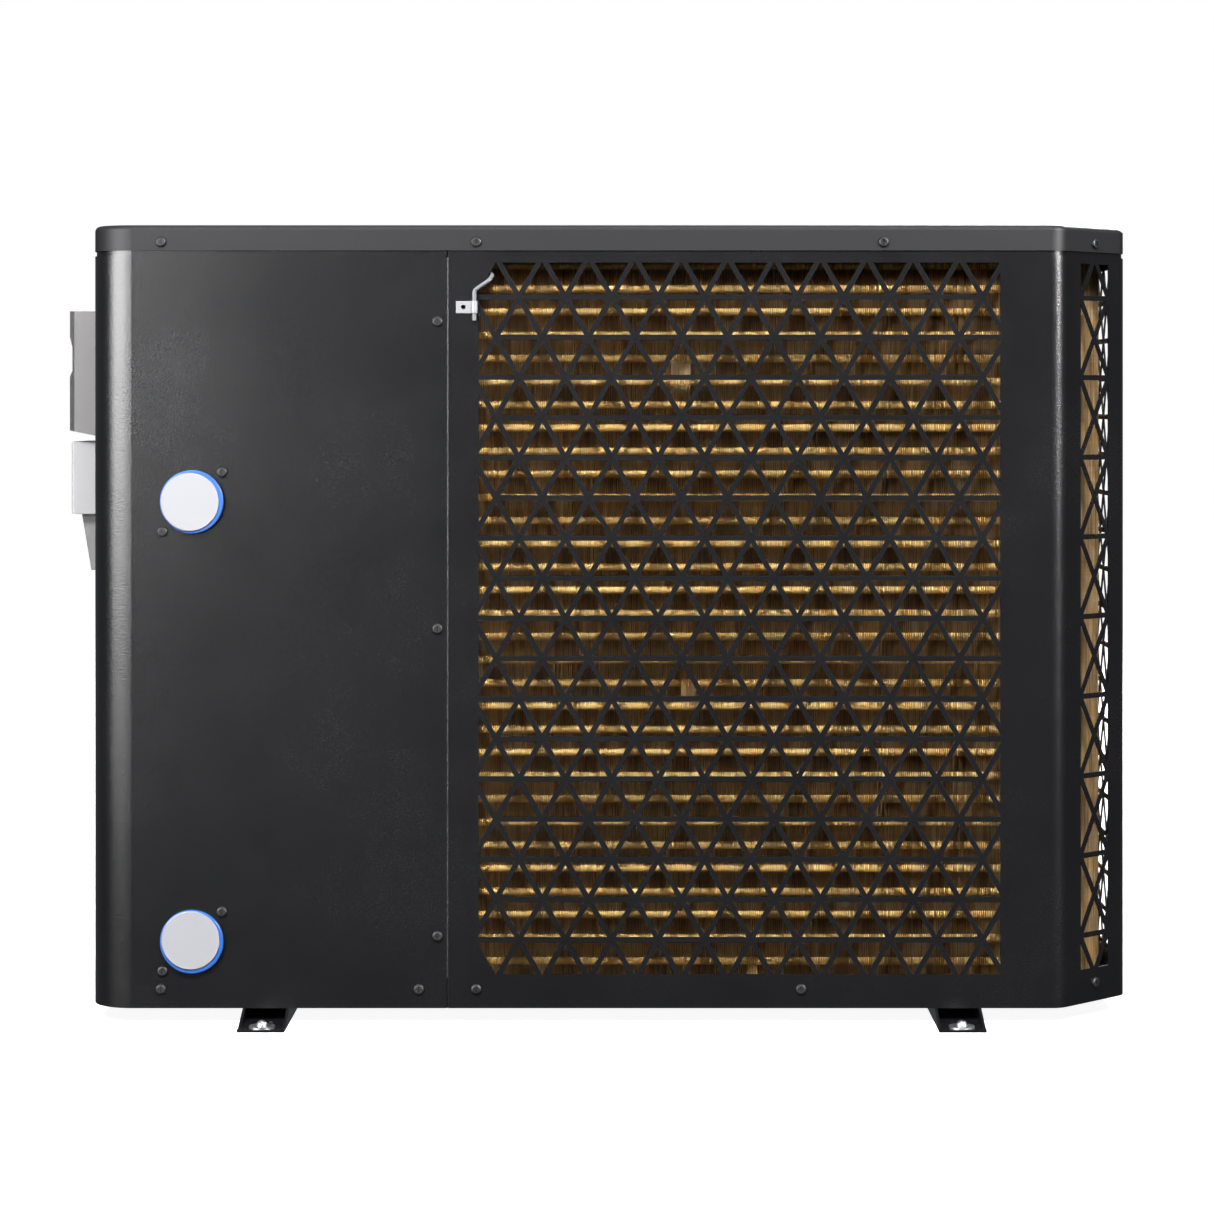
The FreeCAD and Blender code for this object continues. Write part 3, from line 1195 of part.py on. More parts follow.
# ---- electrical box ----
BOARD_IN = 14.0
BOARD_Z = EBOX_Z0 + EBOX_WALL + BOARD_IN
BOARD_TOP = BOARD_Z + BOARD_THICK
LEAD_PLUG = (EBOX_X1 - BOARD_IN - 6, EBOX_Y0 + BOARD_IN + 8)
LEAD_PLUG_HEIGHT = 8.0
LEAD_PLUG_HALF = 5.0


def electrical_box():
    w = EBOX_WALL
    outer = box((EBOX_X0, EBOX_Y0, EBOX_Z0), (EBOX_X1, EBOX_Y1, EBOX_Z1))
    inner = box((EBOX_X0 + w, EBOX_Y0 + w, EBOX_Z0 + w), (EBOX_X1 - w, EBOX_Y1 - w, EBOX_Z1))
    x, z = LEAD_PLUG[0], LEAD_CROSSING[1]
    lead = rod(LEAD_R + 1, (x, EBOX_Y0 - 1, z), (x, EBOX_Y0 + w + 1, z))
    return outer.cut(inner).cut(lead)


def electrical_cover():
    w = EBOX_WALL
    plate = box((EBOX_X0 - w, EBOX_Y0 - w, EBOX_Z1), (EBOX_X1 + w, EBOX_Y1 + w, EBOX_Z1 + w))
    y0, y1, top = EBOX_Y0 - w, EBOX_Y1 + w, EBOX_Z1
    lips = [box((EBOX_X0 - w, y0, top - COVER_LIP_LEFT), (EBOX_X0 - SKIN_GAP, y1, top)),
            box((EBOX_X1 + SKIN_GAP, y0, top - COVER_LIP_RIGHT), (EBOX_X1 + w, y1, top))]
    return join([plate] + lips)


def control_board():
    """Circuit board on pillars with its capacitors, coil, relays and terminals."""
    floor, z, top = EBOX_Z0 + EBOX_WALL, BOARD_Z, BOARD_TOP
    x0, x1 = EBOX_X0 + BOARD_IN, EBOX_X1 - BOARD_IN
    y0, y1 = EBOX_Y0 + BOARD_IN, EBOX_Y1 - BOARD_IN
    pieces = [box((x0, y0, z), (x1, y1, top))]
    x, y = LEAD_PLUG
    pieces.append(box((x - LEAD_PLUG_HALF, y - LEAD_PLUG_HALF, top),
                      (x + LEAD_PLUG_HALF, y + LEAD_PLUG_HALF, top + LEAD_PLUG_HEIGHT)))
    for x in (x0 + PILLAR_IN, x1 - PILLAR_IN):
        for y in (y0 + PILLAR_IN, y1 - PILLAR_IN):
            pieces.append(rod(PILLAR_R, (x, y, floor), (x, y, z)))
    for k in range(CAPACITORS):
        x, y = x1 - CAPACITOR_AT[0], y0 + CAPACITOR_AT[1] + CAPACITOR_STEP * k
        pieces.append(rod(CAPACITOR_R, (x, y, top), (x, y, top + CAPACITOR_HEIGHT)))

    def block(x, y, size):
        return box((x, y, top), (x + size[0], y + size[1], top + size[2]))

    for k in range(RELAYS):
        pieces.append(block(x0 + RELAY_IN + RELAY_STEP * k, y1 - RELAY_IN - RELAY[1], RELAY))
    pieces.append(block(x0 + FILTER_IN, y0 + FILTER_IN, FILTER_COIL))
    pieces.append(block(x0 + TERMINALS_AT[0], y0 + TERMINALS_AT[1], TERMINALS))
    return join(pieces)


# ---- side controller and mains box ----
PIVOT_X = SIDE_FACE - HINGE_IN
PIVOT_COVER_Z = CONTROL_Z1 - HINGE_DOWN
OUT_X = SIDE_FACE - CONTROL_OUT
FACE_X = OUT_X + COVER_THICK + GRIP_DEPTH + COVER_FIT
HOUSING_TOP = CONTROL_Z1 - HINGE_DOWN - KNUCKLE_R - COVER_FIT
HOUSING_BOTTOM = CONTROL_Z0 + 12.0


def side_band(points, width):
    """An outline in the XZ plane, carried across the boxes' width."""
    y0 = SIDE_Y - width / 2
    return prism([(x, y0, z) for x, z in points], Y * width)


def knuckle_spans():
    """Stretches of the hinge line: the housing's two outer ones and the cover's middle one."""
    half = CONTROL_WIDTH / 2 - COVER_THICK - COVER_FIT
    return [(-half, -half + KNUCKLE_LENGTH), (half - KNUCKLE_LENGTH, half)]


def hinge_rod(radius, low, high):
    """A rod on the cover's hinge line."""
    return rod(radius, (PIVOT_X, SIDE_Y + low, PIVOT_COVER_Z), (PIVOT_X, SIDE_Y + high, PIVOT_COVER_Z))


def controller_housing():
    """Shallow grey box with the display's seat, four button wells and two hinge knuckles."""
    width = CONTROL_WIDTH - 2 * (COVER_THICK + COVER_FIT)
    body = side_band([(SIDE_FACE, HOUSING_BOTTOM), (FACE_X, HOUSING_BOTTOM + 4),
                      (FACE_X, HOUSING_TOP), (SIDE_FACE, HOUSING_TOP)], width)
    for low, high in knuckle_spans():
        post = box((PIVOT_X - KNUCKLE_R, SIDE_Y + low, HOUSING_TOP - 1),
                   (PIVOT_X + KNUCKLE_R, SIDE_Y + high, PIVOT_COVER_Z))
        eye = hinge_rod(KNUCKLE_R, low, high)
        body = join([body, post, eye])
    body = body.cut(hinge_rod(HINGE_PIN_R, -width, width))
    seat_y, seat_low, seat_high = fascia_size(0)
    body = body.cut(box((FACE_X - 1, -seat_y, seat_low), (FACE_X + FASCIA_THICK, seat_y, seat_high)))
    well_end = FACE_X + FASCIA_THICK + BUTTON_WELL
    wells = [rod(BUTTON_R + BUTTON_FIT, (FACE_X, y, BUTTON_Z), (well_end, y, BUTTON_Z))
             for y in button_places()]
    return body.cut(group(wells))


def fascia_size(gap):
    """Half width, bottom and top of the display plate, less a gap all round."""
    half = CONTROL_WIDTH / 2 - COVER_THICK - COVER_FIT - 4
    return half - gap, HOUSING_BOTTOM + 10 + gap, HOUSING_TOP - 6 - gap


BUTTON_Z = HOUSING_BOTTOM + 22.0


def button_places():
    return [SIDE_Y + (k - 1.5) * BUTTON_SPACING for k in range(4)]


def controller_display():
    """Dark plate with a screen window, let into the housing's face."""
    half, low, high = fascia_size(0.1)
    plate = box((FACE_X, -half, low), (FACE_X + FASCIA_THICK, half, high))
    screen = box((FACE_X, -half + 14, low + 38), (FACE_X + 0.6, half - 14, high - 10))
    wells = [rod(BUTTON_R + BUTTON_FIT, (FACE_X - 1, y, BUTTON_Z), (FACE_X + FASCIA_THICK, y, BUTTON_Z))
             for y in button_places()]
    return plate.cut(group([screen] + wells))


def button(y):
    """Round key that stands proud of the display plate by a little more than its travel."""
    inner_end = FACE_X + FASCIA_THICK + BUTTON_WELL - BUTTON_TRAVEL - SKIN_GAP
    key = rod(BUTTON_R, (FACE_X - BUTTON_PROUD, y, BUTTON_Z), (inner_end, y, BUTTON_Z))
    return key.makeFillet(0.5, [e for e in key.Edges if e.BoundBox.XMax < FACE_X - 1])


def controller_cover():
    """Flip cover: top lip, face with a finger hollow, sloping bottom lip and end walls."""
    t = COVER_THICK
    top, low = CONTROL_Z1, CONTROL_Z0 + COVER_LOW_SLOPE
    grip_x, lip_x = OUT_X + GRIP_DEPTH, SIDE_FACE - COVER_LOW_GAP
    grip_top = top - GRIP_TOP
    grip_low = grip_top - GRIP_HEIGHT
    grip = [(OUT_X, grip_top), (grip_x, grip_top - GRIP_SLOPE_TOP),
            (grip_x, grip_low + GRIP_SLOPE_LOW), (OUT_X, grip_low)]
    outside = [(PIVOT_X, top), (OUT_X, top)] + grip + [(OUT_X, low), (lip_x, CONTROL_Z0)]
    inner_grip = [(x + t, z + rise) for (x, z), rise in zip(reversed(grip), (-2, -2, 2, 2))]
    inside = ([(lip_x, CONTROL_Z0 + t), (OUT_X + t, low + t)] + inner_grip
              + [(OUT_X + t, top - t), (PIVOT_X, top - t)])
    cover = side_band(outside + inside, CONTROL_WIDTH)
    hollow = ([(lip_x, CONTROL_Z0), (OUT_X, low)] + grip[::-1]
              + [(OUT_X, top), (PIVOT_X - KNUCKLE_R, top), (PIVOT_X - KNUCKLE_R, HOUSING_BOTTOM)])
    half = CONTROL_WIDTH / 2
    pieces = [cover]
    for y in (SIDE_Y - half, SIDE_Y + half - t):
        pieces.append(prism([(x, y, z) for x, z in hollow], Y * t))
    reach = knuckle_spans()[1][0] - COVER_FIT
    eye = hinge_rod(KNUCKLE_R, -reach, reach)
    rib = box((PIVOT_X - KNUCKLE_R, SIDE_Y - reach, PIVOT_COVER_Z), (PIVOT_X, SIDE_Y + reach, top - t + 0.5))
    pieces += [eye, rib]
    bore = hinge_rod(HINGE_PIN_R + SHAFT_FIT, -half, half)
    knuckle_room = [hinge_rod(KNUCKLE_R + COVER_FIT, low_y - COVER_FIT, high_y + COVER_FIT)
                    for low_y, high_y in knuckle_spans()]
    return join(pieces).cut(group(knuckle_room)).cut(bore)


def hinge_pin():
    half = knuckle_spans()[1][1]
    return hinge_rod(HINGE_PIN_R, -half, half)


def terminal_box():
    """White mains box, open outward, with a hole below for the gland and one behind for wires."""
    w = TERMINAL_WALL
    half = TERMINAL_WIDTH / 2
    out = SIDE_FACE - CONTROL_OUT + TERMINAL_LID
    top = CONTROL_Z0 - 3
    outer = box((out, SIDE_Y - half, TERMINAL_Z0), (SIDE_FACE, SIDE_Y + half, top))
    inner = box((out - 1, SIDE_Y - half + w, TERMINAL_Z0 + w), (SIDE_FACE - w, SIDE_Y + half - w, top - w))
    gland = rod(GLAND_BORE_R, (SIDE_FACE - GLAND_OUT, SIDE_Y, TERMINAL_Z0 - 1),
                (SIDE_FACE - GLAND_OUT, SIDE_Y, TERMINAL_Z0 + w + 1))
    wires = rod(WIRE_HOLE_R, (SIDE_FACE - w - 1, SIDE_Y, TERMINAL_Z0 + WIRE_HOLE_R * 3),
                (SIDE_FACE + 1, SIDE_Y, TERMINAL_Z0 + WIRE_HOLE_R * 3))
    return outer.cut(group([inner, gland, wires]))


def terminal_lid():
    half = TERMINAL_WIDTH / 2
    out = SIDE_FACE - CONTROL_OUT
    lid = box((out, SIDE_Y - half, TERMINAL_Z0), (out + TERMINAL_LID, SIDE_Y + half, CONTROL_Z0 - 3))
    return lid.makeFillet(2, [e for e in lid.Edges if e.BoundBox.XMax < out + 0.01])


def cable_gland():
    """Gland under the mains box, with the bore that takes the mains cable."""
    x = SIDE_FACE - GLAND_OUT
    low = TERMINAL_Z0 - GLAND_LENGTH
    body = join([rod(GLAND_R, (x, SIDE_Y, TERMINAL_Z0 - 12), (x, SIDE_Y, TERMINAL_Z0)),
                 rod(GLAND_R - 1.5, (x, SIDE_Y, low), (x, SIDE_Y, TERMINAL_Z0 - 12))])
    return body.cut(rod(GLAND_BORE_R, (x, SIDE_Y, low), (x, SIDE_Y, TERMINAL_Z0)))


def cable_hood():
    """Sloping rain hood round the gland, open below."""
    half = TERMINAL_WIDTH / 2 - 10
    w = HOOD_WALL
    low = TERMINAL_Z0 - HOOD_HEIGHT
    lean = HOOD_HEIGHT / 6
    outer = [(SIDE_FACE, TERMINAL_Z0), (SIDE_FACE - HOOD_OUT, TERMINAL_Z0),
             (SIDE_FACE - HOOD_OUT + lean, low), (SIDE_FACE, low)]
    inner = [(SIDE_FACE + 1, TERMINAL_Z0 + 1), (SIDE_FACE - HOOD_OUT + w, TERMINAL_Z0 + 1),
             (SIDE_FACE - HOOD_OUT + w + lean, low - 1), (SIDE_FACE + 1, low - 1)]
    shell = prism([(x, SIDE_Y - half, z) for x, z in outer], Y * 2 * half)
    return shell.cut(prism([(x, SIDE_Y - half + w, z) for x, z in inner], Y * 2 * (half - w)))


# ---- ambient sensor ----
LEAD_Y = -HALF_D - CLIP_THICK - LEAD_R
PROBE_Z = CLIP_Z - PROBE_LENGTH / 2 - 2
BEHIND_Y = -HALF_D + SHEET + 4.5


def sensor_lead():
    """Sensor and its lead: up through the clip, in by a lattice hole, on to the board's plug."""
    y, z = LEAD_CROSSING
    end_x, end_y = LEAD_PLUG
    route = [(LEAD_X, LEAD_Y, PROBE_Z), (LEAD_X, LEAD_Y, 690), (-115, LEAD_Y, 700), (-112, BEHIND_Y, 706),
             (-140, BEHIND_Y + 1, 716), (-160, y, z), (end_x, y, z), (end_x, end_y, z),
             (end_x, end_y, BOARD_TOP + LEAD_PLUG_HEIGHT)]
    lead = bent_rod(route, LEAD_BEND, LEAD_R)
    print(f"sensor lead {lead.Volume / (math.pi * LEAD_R ** 2):.0f} mm long")
    return lead


def sensor_clip():
    """White nylon P-clip: a flat strap under a screw and a loop round the lead."""
    y = -HALF_D
    low, high = CLIP_Z - CLIP_HEIGHT / 2, CLIP_Z + CLIP_HEIGHT / 2
    strap = box((CLIP_X - 7, y - CLIP_THICK, low), (LEAD_X, y, high))
    loop = rod(LEAD_R + CLIP_THICK, (LEAD_X, LEAD_Y, low), (LEAD_X, LEAD_Y, high))
    loop = loop.common(box((LEAD_X - 9, y - 20, low), (LEAD_X + 9, y, high)))
    hole = rod(LEAD_R + LEAD_FIT, (LEAD_X, LEAD_Y, low - 1), (LEAD_X, LEAD_Y, high + 1))
    bore = rod(SCREW_HOLE_R, (CLIP_X, y - 5, CLIP_Z), (CLIP_X, y, CLIP_Z))
    return join([strap, loop]).cut(group([hole, bore]))


def drain_spout():
    """Flanged bushing in the pan; a drain hose fits its bore."""
    low = PAN_FLOOR - DRAIN_HEIGHT
    top = PAN_FLOOR + DRAIN_FLANGE

    def along(radius, start, end):
        return rod(radius, (DRAIN_X, DRAIN_Y, start), (DRAIN_X, DRAIN_Y, end))

    spout = along(DRAIN_R + DRAIN_WALL - DRAIN_FIT, low, PAN_FLOOR)
    flange = along(DRAIN_R + DRAIN_WALL + DRAIN_FLANGE_OUT, PAN_FLOOR, top)
    return join([spout, flange]).cut(along(DRAIN_R, low, top))


def pieces():
    """Every piece's name and the function that makes it."""
    yield "base_pan", base_pan()
    yield "foot_rail_left", foot_rail(-RAIL_X)
    yield "foot_rail_right", foot_rail(RAIL_X)
    yield "foot_bolts", foot_bolts()
    yield "top_cover", top_cover()
    yield "service_panel", service_panel()
    yield "grille_panel", grille_panel()
    yield "front_panel", front_panel()
    yield "case_screws", group([screw(*place) for place in case_screws() + flange_screws()])
    yield "partition", partition()
    yield "fan_guard", fan_guard()
    yield "bell_mouth", bell_mouth()
    yield "motor_bracket", motor_bracket()
    yield "fan_motor", fan_motor()
    yield "fan_shaft", fan_shaft()
    yield "fan_blades", fan_blades()
    yield "fan_nut", fan_nut()
    yield "evaporator_fins", coil_path_solid(0, COIL_BOTTOM, COIL_TOP)
    yield "evaporator_end_plates", end_plates()
    yield "evaporator_bends", return_bends()
    yield "evaporator_header", group([header(), distributor()])
    yield "compressor_shell", compressor_shell()
    yield "compressor_cylinder", compressor_cylinder()
    yield "compressor_rotor", compressor_rotor()
    yield "compressor_grommets", compressor_grommets()
    yield "compressor_studs", compressor_studs()
    yield "accumulator", accumulator()
    yield "refrigerant_pipes", refrigerant_pipes()
    yield "reversing_valve", reversing_valve()
    yield "valve_slide", valve_slide()
    yield "expansion_valve", expansion_valve()
    yield "exchanger_shell", exchanger_shell()
    yield "exchanger_caps", exchanger_caps()
    yield "exchanger_coil", exchanger_coil()
    yield "water_inlet_pipe", water_inlet_pipe()
    yield "water_outlet_pipe", water_pipe(WATER_HIGH_Z, EXCHANGER_Z1)
    yield "flow_switch", flow_switch()
    yield "flow_paddle", flow_paddle()
    yield "plug_upper", transport_plug(WATER_HIGH_Z)
    yield "plug_lower", transport_plug(WATER_LOW_Z)
    yield "plug_disc_upper", plug_disc(WATER_HIGH_Z, -DISC_SHIFT, 0)
    yield "plug_disc_lower", plug_disc(WATER_LOW_Z, -DISC_SHIFT / 2, DISC_SHIFT)
    yield "electrical_box", electrical_box()
    yield "electrical_cover", electrical_cover()
    yield "control_board", control_board()
    yield "controller_housing", controller_housing()
    yield "controller_display", controller_display()
    yield "controller_cover", controller_cover()
    for name, y in zip(("power", "mode", "down", "up"), button_places()):
        yield "button_" + name, button(y)
    yield "hinge_pin", hinge_pin()
    yield "terminal_box", terminal_box()
    yield "terminal_lid", terminal_lid()
    yield "cable_gland", cable_gland()
    yield "cable_hood", cable_hood()
    yield "sensor_clip", sensor_clip()
    yield "sensor_lead", sensor_lead()
    yield "drain_spout", drain_spout()


os.makedirs("parts", exist_ok=True)
for piece_name, piece_shape in pieces():
    save(piece_name, piece_shape)
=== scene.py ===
# %% [markdown]
# A pool heat pump is a painted steel box with a fan on one side and a finned coil on the other.
# Its shape is already made as a CAD model, so this lesson only adds what CAD leaves out: the
# finishes, the hundreds of thin fins, the light and the camera. The model is loaded as a fixed
# frame.

import math
import random

import bpy
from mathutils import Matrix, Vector


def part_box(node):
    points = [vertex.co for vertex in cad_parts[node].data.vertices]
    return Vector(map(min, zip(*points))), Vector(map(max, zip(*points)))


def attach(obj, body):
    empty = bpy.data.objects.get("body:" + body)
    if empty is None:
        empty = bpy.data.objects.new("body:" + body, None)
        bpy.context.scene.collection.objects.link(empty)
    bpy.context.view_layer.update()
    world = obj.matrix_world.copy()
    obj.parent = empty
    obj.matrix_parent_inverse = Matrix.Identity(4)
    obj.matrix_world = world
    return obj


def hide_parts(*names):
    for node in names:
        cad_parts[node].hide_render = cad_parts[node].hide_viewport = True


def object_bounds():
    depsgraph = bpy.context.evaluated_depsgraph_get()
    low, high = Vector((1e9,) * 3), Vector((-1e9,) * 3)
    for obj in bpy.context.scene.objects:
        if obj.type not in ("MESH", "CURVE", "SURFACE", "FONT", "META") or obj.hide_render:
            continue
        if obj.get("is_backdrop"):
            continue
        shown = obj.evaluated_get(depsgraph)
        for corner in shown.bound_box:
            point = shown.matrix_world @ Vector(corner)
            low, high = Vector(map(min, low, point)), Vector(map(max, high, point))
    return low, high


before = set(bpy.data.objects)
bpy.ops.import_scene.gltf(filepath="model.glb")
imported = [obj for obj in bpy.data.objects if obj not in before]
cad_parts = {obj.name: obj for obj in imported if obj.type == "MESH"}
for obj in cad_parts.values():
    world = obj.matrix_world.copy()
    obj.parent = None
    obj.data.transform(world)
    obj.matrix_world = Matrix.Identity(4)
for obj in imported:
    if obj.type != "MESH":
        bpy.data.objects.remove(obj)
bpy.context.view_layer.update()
MM = 0.001

# %% [markdown]
# A finish is a tree of shader nodes. Wiring them one by one hides the idea behind the plumbing,
# so one small class stands for a node's output and does arithmetic: mask * 0.2 + 0.4 adds the
# two Math nodes that it needs. Plain numbers are worked out in Python and never become nodes.

# %% Arithmetic on sockets
class Value:
    """A node's output. Sums with it add Math nodes to its finish."""

    def __init__(self, finish, socket):
        self.finish, self.socket = finish, socket

    def maths(self, operation, first, second):
        return self.finish.node("Math", {"operation": operation}, {0: first, 1: second})

    def __add__(self, other):
        return self.maths("ADD", self, other)

    def __sub__(self, other):
        return self.maths("SUBTRACT", self, other)

    def __rsub__(self, other):
        return self.maths("SUBTRACT", other, self)

    def __mul__(self, other):
        return self.maths("MULTIPLY", self, other)

    __radd__, __rmul__ = __add__, __mul__


print("a value knows", [name for name in vars(Value) if name.startswith("__r")])

# %% [markdown]
# The second helper is the finish itself. Its method node() makes any node from a type, settings
# and inputs. Noise, mixing and bump are used all the time, so they get short names too. All
# patterns are placed by object coordinates in metres: a scale of 1000 means a grain of 1 mm,
# and the pattern stays on a part when the part moves.

# %% A finish and its nodes
class Finish:
    """A material with one Principled shader."""

    def __init__(self, name, color, roughness, metallic=0.0, coat=0.0, specular=0.5):
        self.material = bpy.data.materials.new(name)
        self.material.use_nodes = True
        self.tree = self.material.node_tree
        self.shader = self.tree.nodes["Principled BSDF"]
        self.place = self.node("TexCoord", output="Object")
        self.color = (*color, 1.0)
        plain = {"Base Color": self.color, "Roughness": roughness, "Metallic": metallic,
                 "Coat Weight": coat, "Specular IOR Level": specular}
        for name, value in plain.items():
            self.feed(self.shader.inputs[name], value)

    def feed(self, socket, value):
        if isinstance(value, Value):
            self.tree.links.new(value.socket, socket)
        else:
            socket.default_value = value

    def node(self, kind, settings=None, inputs=None, output=0):
        made = self.tree.nodes.new("ShaderNode" + kind)
        for name, value in (settings or {}).items():
            if name == "stops":
                ramp = made.color_ramp.elements
                for k, (at, level) in enumerate(value):
                    stop = ramp[k] if k < len(ramp) else ramp.new(at)
                    stop.position, stop.color = at, (level, level, level, 1)
            else:
                setattr(made, name, value)
        for name, value in (inputs or {}).items():
            self.feed(made.inputs[name], value)
        return Value(self, made.outputs[output])

    def stretched(self, x, y, z):
        """The place, with each direction scaled, so that a noise on it makes streaks."""
        return self.node("Mapping", {}, {"Vector": self.place, "Scale": (x, y, z)})

    def noise(self, scale, detail=2.0, roughness=0.5, place=None):
        return self.node("TexNoise", {}, {"Vector": place or self.place, "Scale": scale,
                                          "Detail": detail, "Roughness": roughness})

    def steps(self, value, *stops):
        """A value passed through a curve of (position, result) stops."""
        return self.node("ValToRGB", {"stops": stops}, {"Fac": value})

    def mix(self, mask, first, second):
        """Two colours, blended by a mask."""
        return self.node("Mix", {"data_type": "RGBA"}, {0: mask, 6: first, 7: second}, output=2)

    def wear(self, **inputs):
        """Feeds sockets of the shader, named with underscores for spaces."""
        for name, value in inputs.items():
            self.feed(self.shader.inputs[name.replace("_", " ")], value)

    def bump(self, height, depth):
        """A height from 0 to 1, raised by a depth in metres."""
        self.wear(Normal=self.node("Bump", {}, {"Height": height, "Distance": depth,
                                                "Strength": 1.0}))


def shade(red, green, blue):
    """A colour as seen on a screen, from 0 to 255, as the linear values that light uses."""
    return [(c / 255 / 12.92) if c <= 10 else ((c / 255 + 0.055) / 1.055) ** 2.4
            for c in (red, green, blue)]


def tint(red, green, blue):
    """The same, with the fourth number that a colour socket takes."""
    return (*shade(red, green, blue), 1)


print("mid grey is", [round(c, 3) for c in shade(128, 128, 128)])

# %% [markdown]
# The case is steel with a baked powder coat. Powder melts into a skin with a fine leather-like
# grain, so highlights on it break up into small specks instead of mirroring the lamp. The grain
# is noise of about 1 mm in a Bump node. A much larger noise moves the gloss up and down a
# little, as handling and dust do, and a thin stretched noise gives a few faint rub marks.

# %% Powder coat
def powder_coat(name, color, grain, depth, roughness, specular=0.5):
    coat = Finish(name, color, roughness, specular=specular)
    specks = coat.noise(grain, 3.0, 0.6)
    clouds = coat.noise(7, 4.0, 0.6)
    rubs = coat.steps(coat.noise(9, 3.0, 0.7, coat.stretched(1, 1, 14)), (0.66, 0), (0.74, 1))
    coat.wear(Base_Color=coat.mix(clouds * 0.5 + rubs * 0.10, coat.color, tint(22, 22, 24)),
              Roughness=clouds * 0.12 + specks * 0.10 + (roughness - 0.11))
    coat.bump(specks, depth)
    return coat


BLACK, GRAIN = shade(8, 8, 9), 620
case_coat = powder_coat("case_powder_coat", BLACK, GRAIN, 0.00021, 0.25, 0.42)
cover_coat = powder_coat("cover_powder_coat", shade(24, 24, 26), GRAIN, 0.00008, 0.50, 0.22)
rail_coat = powder_coat("rail_powder_coat", BLACK, GRAIN, 0.00011, 0.25, 0.42)
guard_coat = powder_coat("guard_coat", shade(10, 10, 11), GRAIN, 0.00006, 0.34)
print("coats", case_coat.material.name, cover_coat.material.name, rail_coat.material.name)

# %% [markdown]
# Bare metals differ in how their surface was made. Galvanised sheet shows spangles, which are
# flat zinc crystals a few millimetres wide: Voronoi cells give each crystal its own gloss.
# Turned and drawn metal has fine lines along one direction, which a stretched noise gives.

# %% Bare metals
def spangled(name, color, roughness):
    zinc = Finish(name, color, roughness, metallic=1.0)
    crystals = zinc.node("TexVoronoi", {}, {"Vector": zinc.place, "Scale": 160.0}, output="Color")
    flake = zinc.node("SeparateColor", {}, {"Color": crystals})
    dull = zinc.noise(30, 3.0)
    zinc.wear(Base_Color=zinc.mix(flake * 0.35 + dull * 0.2, zinc.color, tint(120, 122, 125)),
              Roughness=flake * 0.18 + dull * 0.15 + (roughness - 0.15))
    zinc.bump(flake, 0.00002)
    return zinc


def drawn(name, color, roughness, along=(1, 1, 1), stain=0.3, stain_color=(0.05, 0.04, 0.03)):
    metal = Finish(name, color, roughness, metallic=1.0)
    lines = metal.noise(600, 2.0, 0.6, metal.stretched(*along))
    spots = metal.steps(metal.noise(45, 4.0, 0.65), (0.45, 0), (0.75, 1))
    metal.wear(Base_Color=metal.mix(spots * stain, metal.color, (*stain_color, 1)),
               Roughness=lines * 0.16 + spots * 0.22 + (roughness - 0.1))
    metal.bump(lines, 0.00002)
    return metal


galvanised = spangled("galvanised_sheet", shade(190, 192, 195), 0.42)
zinc_plate = drawn("zinc_plate", shade(190, 191, 194), 0.34, stain=0.35)
screw_zinc = drawn("screw_zinc", shade(56, 57, 59), 0.48, stain=0.6)
steel = drawn("turned_steel", shade(180, 180, 184), 0.26, (1, 0.2, 1))
cast = drawn("cast_aluminium", shade(168, 169, 172), 0.5, stain=0.25)
copper = drawn("drawn_copper", shade(198, 122, 84), 0.30, stain=0.45, stain_color=shade(92, 48, 34))
brass = drawn("turned_brass", shade(196, 160, 92), 0.30, stain=0.3)
titanium = drawn("titanium_tube", shade(150, 146, 142), 0.32, stain=0.2)
print("bare metals:", galvanised.material.name, steel.material.name, copper.material.name)

# %% [markdown]
# Moulded plastic copies the skin of its mould. Even a gloss part has a very slight ripple, and a
# matt one has a spark-eroded grain. Colour is nearly even, but dust and finger grease change the
# gloss in patches, and that is what makes a plastic look real rather than perfectly flat.

# %% Plastics, rubber and board
def moulded(name, color, roughness, grain=1400, depth=0.00004, dust=0.12, coat=0.0):
    plastic = Finish(name, color, roughness, coat=coat)
    skin = plastic.noise(grain, 2.0, 0.6)
    patches = plastic.noise(16, 4.0, 0.6)
    pale = tuple(c + (0.6 - c) * 0.12 for c in color)
    plastic.wear(Base_Color=plastic.mix(patches * dust * 2, plastic.color, (*pale, 1)),
                 Roughness=patches * 0.18 + skin * 0.06 + (roughness - 0.12))
    plastic.bump(skin, depth)
    return plastic


blue_plug = moulded("blue_plug_plastic", shade(4, 74, 150), 0.34)
white_disc = moulded("white_disc_plastic", shade(130, 130, 134), 0.46, dust=0.03)
white_box = moulded("white_box_plastic", shade(124, 123, 125), 0.36, dust=0.05)
grey_shell = moulded("grey_shell_plastic", shade(92, 90, 91), 0.45)
dark_shell = moulded("dark_shell_plastic", shade(34, 32, 33), 0.3)
hood_plastic = moulded("hood_plastic", shade(84, 83, 84), 0.4)
key_plastic = moulded("key_plastic", shade(176, 177, 180), 0.4)
fan_plastic = moulded("fan_plastic", shade(44, 45, 48), 0.42, grain=700, depth=0.00006)
nylon_white = moulded("white_nylon", shade(120, 120, 124), 0.38)
nylon_black = moulded("black_nylon", shade(24, 24, 25), 0.42)
pipe_plastic = moulded("grey_pipe_plastic", shade(98, 100, 104), 0.38)
rubber = moulded("rubber", shade(26, 26, 26), 0.7, grain=500, depth=0.0001)
lead_sheath = moulded("lead_sheath", shade(80, 82, 86), 0.45)
board = moulded("board_lacquer", shade(22, 92, 52), 0.3, grain=300, depth=0.00008)
enamel = moulded("black_enamel", shade(22, 22, 23), 0.2, coat=0.5)
